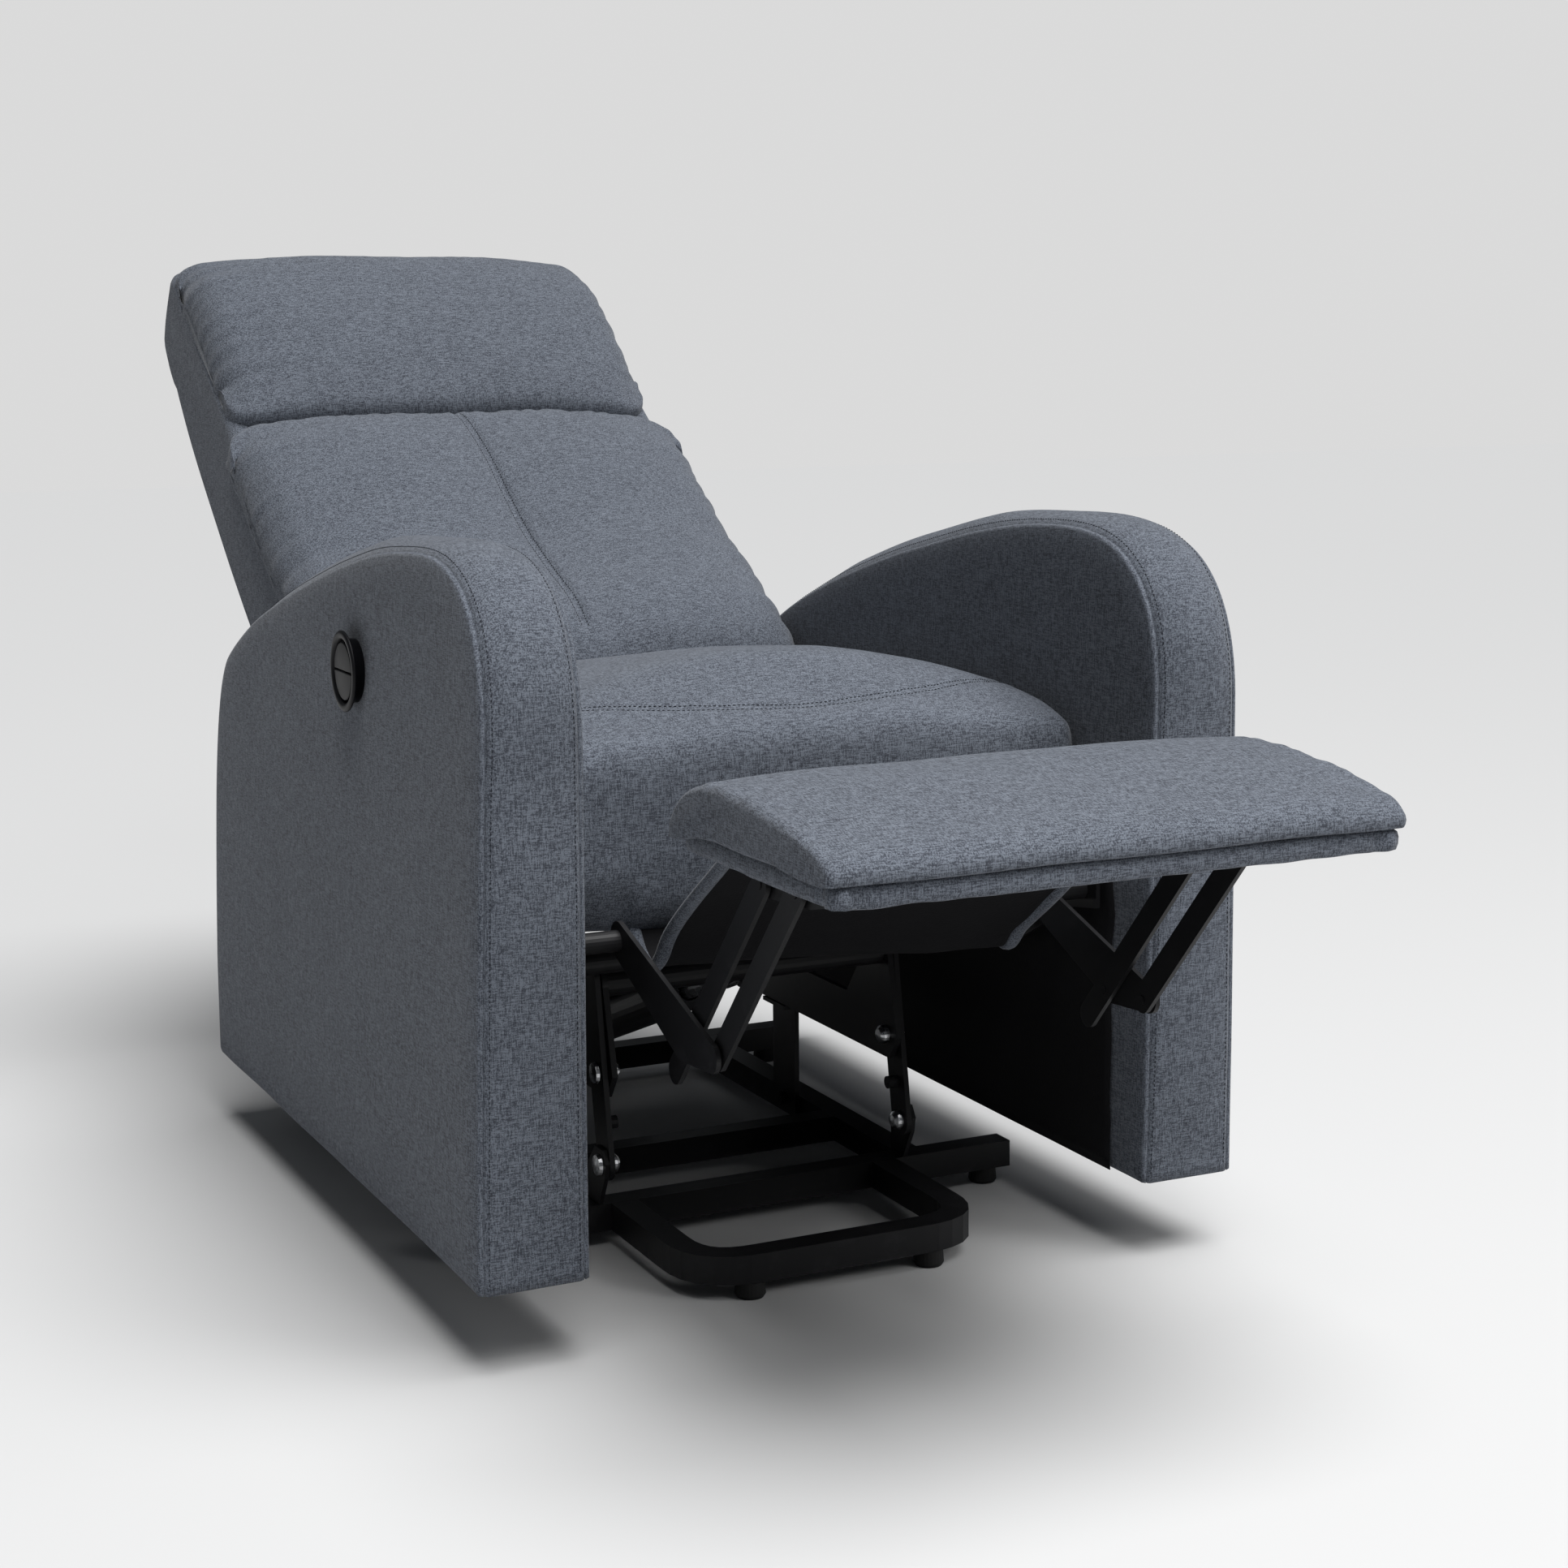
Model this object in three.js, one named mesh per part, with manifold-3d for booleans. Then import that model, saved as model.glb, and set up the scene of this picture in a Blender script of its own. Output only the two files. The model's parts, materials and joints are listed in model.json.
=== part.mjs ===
// Power-lift recliner armchair, shown reclined with its footrest out and its lift base lowered.
// Units are millimetres. While it is drawn, y = 0 is the front face of the arms, z = 0 is the floor,
// +y runs to the rear and x = 0 is the plane of symmetry; the last lines centre the chair on its box.
import * as THREE from "three";
import { mergeVertices } from "three/addons/utils/BufferGeometryUtils.js";
import Module from "manifold-3d";

const wasm = await Module();
wasm.setup();

// ---- driving dimensions ----
const GAP = 0.3;
const DEG = Math.PI / 180;

// upholstered arms
const CHAIR_HALF = 350;
const ARM_THICK = 94;
const ARM_INNER = CHAIR_HALF - ARM_THICK;
const ARM_BOTTOM = 67;
const ARM_TOP = 634;
const ARM_REAR = 812;

// welded base
const TUBE = 25;
const WALL = 1.5;
const FOOT_HEIGHT = 14.7;
const BASE_Z = FOOT_HEIGHT + GAP + TUBE / 2;
const BASE_TOP = BASE_Z + TUBE / 2;
const CROSS_HALF = 267;
const FRONT_TUBE_Y = 253;
const MIDDLE_TUBE_Y = 400;
const REAR_TUBE_Y = 737;
const RAIL_X = 166;
const BUMPER_X = 131;
const BUMPER_Y = 73;
const BUMPER_BEND = 52;

// lift linkage
const LIFT_PIVOT = { y: 252, z: 158 };
const LOWER_PIVOT = { y: 238, z: 78 };
const UPRIGHT_TOP = { y: 266, z: 240 };
const UPRIGHT_X = 146;
const LIFT_ARM_X = 139;
const CARRIAGE_PIVOT = { y: 637, z: 158 };
const PIN_R = 6;
const PIN_CLEARANCE = 0.4;
const LIFT_TUBE = { y: 268, z: 235 };
const ACTUATOR_REAR = { y: 690, z: 72 };
const ACTUATOR_FRONT = { y: 300, z: 220 };

// seat carriage
const PLATE_X = 244;
const PLATE_THICK = 4;
const FRONT_CROSS = { y: 215, z: 268 };
const REAR_CROSS = { y: 590, z: 345 };
const SEAT_HALF = 243;
const SEAT_BOTTOM = 376;
const SEAT_FRONT = 90;
const SEAT_REAR = 610;

// footrest linkage
const CRANK_PIVOT = { y: 80, z: 318 };
const BRACKET_X = 182;
const BAR_X = 188;
const CRANK_X = 194;
const LINK_THICK = 4;
const REAR_BAR_FOOT = { y: -42, z: 260 };
const REAR_BAR_HEAD = { y: -177, z: 412 };
const BAR_SPACING = { y: -58, z: 4 };
const BAR_TAIL = 36;
const LINK_R = 12;

// footrest
const FOOTREST_HALF = 233;
const FOOTREST_FRONT = -372;
const FOOTREST_REAR = -118;
const BOARD_Z = 430;
const BOARD_THICK = 12;
const PAD_TOP = 490;

// reclining back
const BACK_PIVOT = { y: 672, z: 440 };
const BACK_ANGLE = 38.4 * DEG;
const BACK_HEEL = 46;
const BACK_LENGTH = 714;
const BACK_BRACKET_X = 238.5;

// switch
const SWITCH = { y: 309, z: 522 };
const SWITCH_R = 35;
const POCKET_R = 28.5;
const POCKET_DEPTH = 14;

// ---- finishes ----
function finish(color, roughness, metalness) {
  return () => new THREE.MeshStandardMaterial({ color, roughness, metalness });
}
const fabric = finish(0x5f6670, 0.95, 0);
const blackSteel = finish(0x16171a, 0.45, 0.6);
const zinc = finish(0xb9bcc0, 0.35, 0.9);
const rubber = finish(0x141414, 0.85, 0);
const blackPlastic = finish(0x0f1012, 0.2, 0);
const plywood = finish(0xb08c5a, 0.8, 0);

// ---- helpers ----
const chair = new THREE.Group();
const mirrored = [
  ["L", -1],
  ["R", 1],
];

function addMesh(name, geometry, material, parent = chair) {
  const mesh = new THREE.Mesh(geometry, material());
  mesh.name = name;
  parent.add(mesh);
  return mesh;
}

function toSolid(geometry) {
  const bare = (geometry.index ? geometry.toNonIndexed() : geometry).clone();
  bare.deleteAttribute("normal");
  bare.deleteAttribute("uv");
  const merged = mergeVertices(bare, 1e-4);
  return new wasm.Manifold(
    new wasm.Mesh({
      numProp: 3,
      vertProperties: merged.attributes.position.array,
      triVerts: new Uint32Array(merged.index.array),
    }),
  );
}

function toGeometry(solid) {
  const mesh = solid.getMesh();
  const geometry = new THREE.BufferGeometry();
  geometry.setAttribute("position", new THREE.BufferAttribute(new Float32Array(mesh.vertProperties), 3));
  geometry.setIndex(new THREE.BufferAttribute(new Uint32Array(mesh.triVerts), 1));
  return geometry;
}

function join(...geometries) {
  return toGeometry(geometries.map(toSolid).reduce((sum, next) => sum.add(next)));
}

function cut(body, ...tools) {
  return toGeometry(tools.map(toSolid).reduce((rest, tool) => rest.subtract(tool), toSolid(body)));
}

function box(x0, x1, y0, y1, z0, z1) {
  const geometry = new THREE.BoxGeometry(x1 - x0, y1 - y0, z1 - z0);
  return geometry.translate((x0 + x1) / 2, (y0 + y1) / 2, (z0 + z1) / 2);
}

// The span of x that a plate of this thickness takes on the side given by sign.
function spanX(sign, inner, thickness) {
  return sign > 0 ? [inner, inner + thickness] : [-inner - thickness, -inner];
}

// A shape drawn in (y, z), extruded along x between x0 and x1.
function slab(shape, [x0, x1], curveSegments = 10) {
  const geometry = new THREE.ExtrudeGeometry(shape, { depth: x1 - x0, bevelEnabled: false, curveSegments });
  const turn = new THREE.Matrix4().makeBasis(
    new THREE.Vector3(0, 1, 0),
    new THREE.Vector3(0, 0, 1),
    new THREE.Vector3(1, 0, 0),
  );
  return geometry.applyMatrix4(turn).translate(x0, 0, 0);
}

function outline(points) {
  return new THREE.Shape(points.map(([y, z]) => new THREE.Vector2(y, z)));
}

function hole(shape, at, radius) {
  const path = new THREE.Path();
  path.absarc(at.y, at.z, radius, 0, 2 * Math.PI, true);
  shape.holes.push(path);
  return shape;
}

// A flat link with round ends between two points of the side plane.
function linkShape(from, to, radius) {
  const angle = Math.atan2(to.z - from.z, to.y - from.y);
  const shape = new THREE.Shape();
  shape.absarc(from.y, from.z, radius, angle + Math.PI / 2, angle + 1.5 * Math.PI, false);
  shape.absarc(to.y, to.z, radius, angle - Math.PI / 2, angle + Math.PI / 2, false);
  shape.closePath();
  return shape;
}

// A solid of revolution about x, from [x, radius] pairs that start and end on the axis.
function turned(profile, at, segments = 20) {
  const points = profile.map(([x, r]) => new THREE.Vector2(r, x));
  const geometry = new THREE.LatheGeometry(points, segments);
  return geometry.rotateZ(-Math.PI / 2).translate(0, at.y, at.z);
}

function rod(x0, x1, radius, at, segments = 20) {
  return turned([[x0, 0], [x0, radius], [x1, radius], [x1, 0]], at, segments);
}

// A rod on the side given by sign, between two distances from the plane of symmetry.
function sideRod(sign, inner, outer, radius, at, segments = 20) {
  return sign > 0 ? rod(inner, outer, radius, at, segments) : rod(-outer, -inner, radius, at, segments);
}

// A round tube about x, open at both ends.
function roundTube(half, radius, wall, at, segments = 20) {
  const inner = radius - wall;
  const section = [
    [-half, inner],
    [-half, radius],
    [half, radius],
    [half, inner],
    [-half, inner],
  ];
  return turned(section, at, segments);
}

function squareSection(size, wall) {
  const half = size / 2;
  const shape = outline([[-half, -half], [half, -half], [half, half], [-half, half]]);
  const core = half - wall;
  shape.holes.push(
    new THREE.Path([
      new THREE.Vector2(-core, -core),
      new THREE.Vector2(-core, core),
      new THREE.Vector2(core, core),
      new THREE.Vector2(core, -core),
    ]),
  );
  return shape;
}

function squareTubeX(x0, x1, at) {
  return slab(squareSection(TUBE, WALL), [x0, x1]).translate(0, at.y, at.z);
}

function squareTubeY(y0, y1, x, z) {
  const section = squareSection(TUBE, WALL);
  const geometry = new THREE.ExtrudeGeometry(section, { depth: y1 - y0, bevelEnabled: false });
  return geometry.rotateX(-Math.PI / 2).translate(x, y0, z);
}

function along(from, to, distance) {
  const length = Math.hypot(to.y - from.y, to.z - from.z);
  return {
    y: from.y + ((to.y - from.y) * distance) / length,
    z: from.z + ((to.z - from.z) * distance) / length,
  };
}

function shifted(point, step) {
  return { y: point.y + step.y, z: point.z + step.z };
}

// ---- base ----
function buildBase() {
  const crossTubes = [
    ["base_front_tube", FRONT_TUBE_Y, CROSS_HALF],
    ["base_middle_tube", MIDDLE_TUBE_Y, RAIL_X - TUBE / 2 - GAP],
    ["base_rear_tube", REAR_TUBE_Y, CROSS_HALF],
  ];
  for (const [name, y, half] of crossTubes) {
    addMesh(name, squareTubeX(-half, half, { y, z: BASE_Z }), blackSteel);
  }
  const railFront = FRONT_TUBE_Y + TUBE / 2 + GAP;
  const railRear = REAR_TUBE_Y - TUBE / 2 - GAP;
  for (const [side, sign] of mirrored) {
    addMesh("base_rail_" + side, squareTubeY(railFront, railRear, sign * RAIL_X, BASE_Z), blackSteel);
  }
  buildBumper();
  buildFeet();
  for (const [side, sign] of mirrored) {
    buildUpright(side, sign);
    buildRestPost(side, sign);
  }
  const clevis = join(
    box(-22, 22, REAR_TUBE_Y - 40, REAR_TUBE_Y + TUBE / 2, BASE_TOP + GAP, BASE_TOP + 5),
    ...[-1, 1].map((sign) => {
      const ear = outline([
        [ACTUATOR_REAR.y - 13, ACTUATOR_REAR.z + 13],
        [ACTUATOR_REAR.y - 13, ACTUATOR_REAR.z - 14],
        [REAR_TUBE_Y - 34, BASE_TOP + GAP],
        [REAR_TUBE_Y, BASE_TOP + GAP],
        [REAR_TUBE_Y, BASE_TOP + 12],
        [ACTUATOR_REAR.y + 14, ACTUATOR_REAR.z + 13],
      ]);
      return slab(ear, spanX(sign, 15, 4));
    }),
    rod(-22, 22, 4.6, ACTUATOR_REAR, 16),
  );
  addMesh("actuator_clevis", clevis, blackSteel);
}

function buildBumper() {
  const start = FRONT_TUBE_Y - TUBE / 2 - GAP;
  const corner = (sign) => new THREE.Vector3(sign * BUMPER_X, BUMPER_Y, 0);
  const path = new THREE.CurvePath();
  const legEnd = (sign) => new THREE.Vector3(sign * BUMPER_X, BUMPER_Y + BUMPER_BEND, 0);
  const barEnd = (sign) => new THREE.Vector3(sign * (BUMPER_X - BUMPER_BEND), BUMPER_Y, 0);
  path.add(new THREE.LineCurve3(new THREE.Vector3(-BUMPER_X, start, 0), legEnd(-1)));
  path.add(new THREE.QuadraticBezierCurve3(legEnd(-1), corner(-1), barEnd(-1)));
  path.add(new THREE.LineCurve3(barEnd(-1), barEnd(1)));
  path.add(new THREE.QuadraticBezierCurve3(barEnd(1), corner(1), legEnd(1)));
  path.add(new THREE.LineCurve3(legEnd(1), new THREE.Vector3(BUMPER_X, start, 0)));
  const geometry = new THREE.ExtrudeGeometry(squareSection(TUBE, WALL), { steps: 44, extrudePath: path });
  addMesh("base_bumper", geometry.translate(0, 0, BASE_Z), blackSteel);
}

function buildFeet() {
  const spots = [
    ["front", 244, FRONT_TUBE_Y],
    ["rear", 244, REAR_TUBE_Y],
    ["bumper", 86, BUMPER_Y],
  ];
  const profile = [[0, 0], [11.5, 0], [13.5, 3], [12.5, FOOT_HEIGHT], [0, FOOT_HEIGHT]];
  for (const [place, x, y] of spots) {
    for (const [side, sign] of mirrored) {
      const points = profile.map(([r, z]) => new THREE.Vector2(r, z));
      const foot = new THREE.LatheGeometry(points, 24).rotateX(Math.PI / 2);
      addMesh("foot_" + place + "_" + side, foot.translate(sign * x, y, 0), rubber);
    }
  }
}

// A bolt across the link pack: domed nut inside, pan head outside.
function pivotBolt(sign, nut, head, at) {
  const inside = nut - 9;
  const profile = [
    [inside, 0],
    [inside + 1, 5.5],
    [inside + 4, 8.5],
    [nut, 9],
    [nut, PIN_R - PIN_CLEARANCE / 2],
    [head, PIN_R - PIN_CLEARANCE / 2],
    [head, 10],
    [head + 3, 9],
    [head + 4, 0],
  ];
  const ordered = sign > 0 ? profile : profile.map(([x, r]) => [-x, r]).reverse();
  return turned(ordered, at, 18);
}

function buildUpright(side, sign) {
  const bracket = outline([
    [LOWER_PIVOT.y - 15, LOWER_PIVOT.z + 4],
    [LOWER_PIVOT.y - 12, LOWER_PIVOT.z - 10],
    [FRONT_TUBE_Y - 12, BASE_TOP + GAP],
    [FRONT_TUBE_Y + 12, BASE_TOP + GAP],
    [FRONT_TUBE_Y + 12, LOWER_PIVOT.z - 4],
    [LOWER_PIVOT.y + 10, LOWER_PIVOT.z + 15],
    [LOWER_PIVOT.y - 8, LOWER_PIVOT.z + 15],
  ]);
  hole(bracket, LOWER_PIVOT, PIN_R);
  addMesh("base_bracket_" + side, slab(bracket, spanX(sign, UPRIGHT_X + 5 + GAP, 4)), blackSteel);

  const upright = linkShape(LOWER_PIVOT, UPRIGHT_TOP, 15);
  hole(upright, LOWER_PIVOT, PIN_R);
  hole(upright, LIFT_PIVOT, PIN_R);
  const stopAt = along(LOWER_PIVOT, UPRIGHT_TOP, 36);
  const stop = sideRod(sign, UPRIGHT_X - 10, UPRIGHT_X + 2, 6, stopAt, 12);
  addMesh("lift_upright_" + side, join(slab(upright, spanX(sign, UPRIGHT_X, 5)), stop), blackSteel);

  const lowerBolt = pivotBolt(sign, UPRIGHT_X - GAP, UPRIGHT_X + 9 + 2 * GAP, LOWER_PIVOT);
  addMesh("lower_bolt_" + side, lowerBolt, zinc);
  const upperBolt = pivotBolt(sign, LIFT_ARM_X - GAP, UPRIGHT_X + 5 + GAP, LIFT_PIVOT);
  addMesh("lift_pivot_bolt_" + side, upperBolt, zinc);
}

// A post on the rail that carries the lowered lift arm on its bent top.
function buildRestPost(side, sign) {
  const [postFront, postRear] = [465, 515];
  const top = LIFT_PIVOT.z - 22 - GAP;
  const inner = RAIL_X - TUBE / 2 - GAP - 5;
  const post = slab(
    outline([[postFront, BASE_Z - 8], [postRear, BASE_Z - 8], [postRear, top], [postFront, top]]),
    spanX(sign, inner, 5),
  );
  const [x0, x1] = spanX(sign, LIFT_ARM_X - 2, inner + 5 - LIFT_ARM_X + 2);
  const shelf = box(x0, x1, postFront, postRear, top - 4, top);
  const boltAt = { y: 490, z: BASE_Z + 6 };
  const head = sideRod(sign, inner - 7, inner + 1, 7, boltAt, 12);
  addMesh("rest_post_" + side, join(post, shelf, head), blackSteel);
}

// ---- lift arms ----
function buildLiftArms() {
  for (const [side, sign] of mirrored) {
    const { y: y0, z: z0 } = LIFT_PIVOT;
    const { y: y1 } = CARRIAGE_PIVOT;
    const shape = new THREE.Shape();
    shape.moveTo(y0 - 6, z0 - 22);
    shape.lineTo(y1, z0 - 22);
    shape.absarc(y1, z0, 22, -Math.PI / 2, Math.PI / 2, false);
    shape.lineTo(y0 + 80, z0 + 24);
    shape.lineTo(LIFT_TUBE.y + 20, LIFT_TUBE.z + 4);
    shape.absarc(LIFT_TUBE.y, LIFT_TUBE.z, 19, 0.3, Math.PI, false);
    shape.lineTo(y0 - 22, z0);
    shape.closePath();
    hole(shape, LIFT_PIVOT, PIN_R + PIN_CLEARANCE);
    const plate = slab(shape, spanX(sign, LIFT_ARM_X, 5.5));
    const pin = sideRod(sign, LIFT_ARM_X + 1, LIFT_ARM_X + 18, 8, CARRIAGE_PIVOT);
    addMesh("lift_arm_" + side, join(plate, pin), blackSteel);
  }
  const lug = linkShape(LIFT_TUBE, ACTUATOR_FRONT, 13);
  hole(lug, ACTUATOR_FRONT, 5);
  const tube = rod(-LIFT_ARM_X + GAP, LIFT_ARM_X - GAP, 13, LIFT_TUBE);
  const lugs = [-1, 1].map((sign) => slab(lug, spanX(sign, 11, 4)));
  addMesh("lift_cross_tube", join(tube, ...lugs), blackSteel);
}

// ---- seat carriage ----
function buildCarriage() {
  for (const [side, sign] of mirrored) {
    const plate = outline([
      [58, 340],
      [58, 304],
      [98, 298],
      [190, 250],
      [240, 250],
      [275, 300],
      [570, 318],
      [690, 402],
      [704, 440],
      [690, 468],
      [656, 468],
      [636, 440],
      [590, 372],
      [70, 372],
    ]);
    hole(plate, CRANK_PIVOT, 5.6);
    const backPin = sideRod(sign, BACK_BRACKET_X - 1, PLATE_X + 1, PIN_R, BACK_PIVOT);
    const slabbed = slab(plate, spanX(sign, PLATE_X, PLATE_THICK));
    addMesh("side_plate_" + side, join(slabbed, backPin), blackSteel);

    const hanger = new THREE.Shape();
    hanger.absarc(CARRIAGE_PIVOT.y, CARRIAGE_PIVOT.z, 18, Math.PI, 2 * Math.PI, false);
    hanger.lineTo(REAR_CROSS.y + 30, REAR_CROSS.z - TUBE / 2 - GAP);
    hanger.lineTo(REAR_CROSS.y - 25, REAR_CROSS.z - TUBE / 2 - GAP);
    hanger.closePath();
    hole(hanger, CARRIAGE_PIVOT, 8 + PIN_CLEARANCE);
    addMesh("lift_hanger_" + side, slab(hanger, spanX(sign, LIFT_ARM_X + 8, 5)), blackSteel);
  }
  const span = PLATE_X - GAP;
  addMesh("front_cross_tube", roundTube(span, 11, 2, FRONT_CROSS, 24), blackSteel);
  addMesh("rear_cross_tube", squareTubeX(-span, span, REAR_CROSS), blackSteel);
  const railZ = [SEAT_BOTTOM - 36, SEAT_BOTTOM - 8];
  addMesh("seat_front_rail", box(-span, span, 112, 134, ...railZ), plywood);
  const rearRail = box(-span, span, SEAT_REAR - 60, SEAT_REAR - 38, SEAT_BOTTOM - 17, SEAT_BOTTOM - 8);
  addMesh("seat_rear_rail", rearRail, plywood);
  const deckTop = SEAT_BOTTOM - GAP;
  addMesh("seat_deck", box(-span, span, SEAT_FRONT + 8, SEAT_REAR - 10, deckTop - 3, deckTop), fabric);

  const seat = new THREE.Shape();
  seat.moveTo(SEAT_FRONT + 4, SEAT_BOTTOM);
  seat.lineTo(SEAT_REAR - 6, SEAT_BOTTOM);
  seat.lineTo(SEAT_REAR, SEAT_BOTTOM + 30);
  seat.lineTo(SEAT_REAR, 462);
  seat.quadraticCurveTo(SEAT_REAR, 480, SEAT_REAR - 20, 484);
  seat.bezierCurveTo(440, 506, 300, 518, 219, 516);
  seat.quadraticCurveTo(160, 510, 138, 500);
  seat.quadraticCurveTo(SEAT_FRONT - 4, 488, SEAT_FRONT - 4, 440);
  seat.closePath();
  addMesh("seat_cushion", slab(seat, [-SEAT_HALF, SEAT_HALF], 8), fabric);

  // The upholstered panel under the cushion's front is cut back at its lower corners for the folded bars.
  const apronUpper = box(-SEAT_HALF, SEAT_HALF, 98, 111, 348, deckTop - 3 - GAP);
  const apronLower = box(-180, 180, 98, 111, 322, 349);
  addMesh("seat_apron", join(apronUpper, apronLower), fabric);
}

function armShape() {
  const shape = new THREE.Shape();
  shape.moveTo(0, ARM_BOTTOM);
  shape.lineTo(ARM_REAR - 4, ARM_BOTTOM);
  shape.lineTo(ARM_REAR, ARM_BOTTOM + 100);
  shape.bezierCurveTo(804, 380, 792, 452, 750, 486);
  shape.bezierCurveTo(690, 524, 560, 562, 440, 590);
  shape.bezierCurveTo(340, 612, 240, ARM_TOP, 140, ARM_TOP);
  shape.bezierCurveTo(40, ARM_TOP, -6, 590, -8, 500);
  shape.closePath();
  return shape;
}

function buildArms() {
  for (const [side, sign] of mirrored) {
    const arm = slab(armShape(), spanX(sign, ARM_INNER, ARM_THICK), 12);
    const pocket = rod(-CHAIR_HALF - 1, -CHAIR_HALF + POCKET_DEPTH, POCKET_R, SWITCH, 32);
    addMesh("armrest_" + side, sign < 0 ? cut(arm, pocket) : arm, fabric);
  }
}

// A round bezel with a cup behind it, holding two half-round push buttons.
function buildSwitch() {
  const face = -CHAIR_HALF - GAP;
  const cupR = POCKET_R - GAP;
  const cupFloor = -CHAIR_HALF + POCKET_DEPTH - GAP;
  const profile = [
    [cupFloor, 0],
    [cupFloor, cupR],
    [face, cupR],
    [face, SWITCH_R],
    [face - 2, SWITCH_R - 0.5],
    [face - 3, SWITCH_R - 3],
    [face - 3, cupR - 1.5],
    [face - 2, cupR - 2],
    [cupFloor - 2, cupR - 2],
    [cupFloor - 2, 0],
  ];
  addMesh("switch_bezel", turned(profile.reverse(), SWITCH, 40), blackPlastic);

  const radius = cupR - 2.6;
  const split = 0.6;
  const names = [
    ["recline_button", 1],
    ["lift_button", -1],
  ];
  for (const [name, up] of names) {
    const reach = Math.acos(split / radius);
    const middle = up > 0 ? Math.PI / 2 : -Math.PI / 2;
    const half = new THREE.Shape();
    half.absarc(0, 0, radius, middle - reach, middle + reach, false);
    half.closePath();
    const button = slab(half, [face - 2.2, face + 5], 16);
    addMesh(name, button.translate(0, SWITCH.y, SWITCH.z), blackPlastic);
  }
}

// ---- footrest ----
function buildFootrest() {
  const frontFoot = shifted(REAR_BAR_FOOT, BAR_SPACING);
  const frontHead = shifted(REAR_BAR_HEAD, BAR_SPACING);
  const boardBottom = BOARD_Z;
  for (const [side, sign] of mirrored) {
    const plate = new THREE.Shape();
    plate.moveTo(CRANK_PIVOT.y + 14, CRANK_PIVOT.z - 12);
    plate.absarc(CRANK_PIVOT.y, CRANK_PIVOT.z, 16, -0.8, Math.PI / 2 + 0.2, false);
    plate.lineTo(frontFoot.y, frontFoot.z + LINK_R);
    plate.absarc(frontFoot.y, frontFoot.z, LINK_R, Math.PI / 2, 1.5 * Math.PI, false);
    plate.lineTo(REAR_BAR_FOOT.y, REAR_BAR_FOOT.z - LINK_R);
    plate.closePath();
    const barPins = [REAR_BAR_FOOT, frontFoot].map((at) => sideRod(sign, BAR_X - 1, CRANK_X + 1, 4, at, 14));
    const shaft = sideRod(sign, CRANK_X + 1, PLATE_X - GAP, 9, CRANK_PIVOT);
    const shaftEnd = sideRod(sign, PLATE_X - 2, PLATE_X + PLATE_THICK + 2, 5, CRANK_PIVOT);
    const crank = slab(plate, spanX(sign, CRANK_X, LINK_THICK));
    addMesh("footrest_crank_" + side, join(crank, shaft, shaftEnd, ...barPins), blackSteel);

    const bars = [
      ["footrest_rear_bar_", along(REAR_BAR_FOOT, REAR_BAR_HEAD, -BAR_TAIL), REAR_BAR_FOOT, REAR_BAR_HEAD],
      ["footrest_front_bar_", frontFoot, frontFoot, frontHead],
    ];
    for (const [name, end, foot, head] of bars) {
      const shape = linkShape(end, head, LINK_R - 1);
      hole(shape, foot, 4 + PIN_CLEARANCE);
      hole(shape, head, 4 + PIN_CLEARANCE);
      addMesh(name + side, slab(shape, spanX(sign, BAR_X, LINK_THICK)), blackSteel);
    }

    const flange = outline([
      [REAR_BAR_HEAD.y + 40, boardBottom - GAP],
      [REAR_BAR_HEAD.y - 150, boardBottom - GAP],
      [REAR_BAR_HEAD.y - 150, boardBottom - 6],
      [frontHead.y - 14, frontHead.z - 10],
      [REAR_BAR_HEAD.y + 12, REAR_BAR_HEAD.z - 12],
      [REAR_BAR_HEAD.y + 40, boardBottom - 8],
    ]);
    const [top0, top1] = spanX(sign, BRACKET_X - 24, 26);
    const footTop = boardBottom - GAP;
    const foot = box(top0, top1, REAR_BAR_HEAD.y - 150, REAR_BAR_HEAD.y + 40, footTop - 3, footTop);
    const heads = [REAR_BAR_HEAD, frontHead];
    const headPins = heads.map((at) => sideRod(sign, BRACKET_X + 1, BAR_X + 5, 4, at, 14));
    const wall = slab(flange, spanX(sign, BRACKET_X, LINK_THICK));
    addMesh("footrest_bracket_" + side, join(wall, foot, ...headPins), blackSteel);
  }

  const boardHalf = FOOTREST_HALF - 6;
  const board = box(
    -boardHalf, boardHalf, FOOTREST_FRONT + 6, FOOTREST_REAR - 6, boardBottom, boardBottom + BOARD_THICK,
  );
  addMesh("footrest_board", board, plywood);

  const pad = new THREE.Shape();
  const padBottom = boardBottom + BOARD_THICK + GAP;
  pad.moveTo(FOOTREST_FRONT, padBottom);
  pad.lineTo(FOOTREST_REAR, padBottom);
  pad.quadraticCurveTo(FOOTREST_REAR + 1, 472, -142, 480);
  pad.quadraticCurveTo(-210, PAD_TOP + 4, -260, 482);
  pad.quadraticCurveTo(-340, 474, FOOTREST_FRONT, 452);
  pad.closePath();
  addMesh("footrest_pad", slab(pad, [-FOOTREST_HALF, FOOTREST_HALF], 6), fabric);

  const web = outline([
    [FOOTREST_REAR - 8, 424],
    [FOOTREST_REAR - 4, 427],
    [60, 338],
    [90, 350],
    [92, 347],
    [60, 334],
  ]);
  addMesh("footrest_web", slab(web, [-176, 176]), fabric);
}

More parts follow.
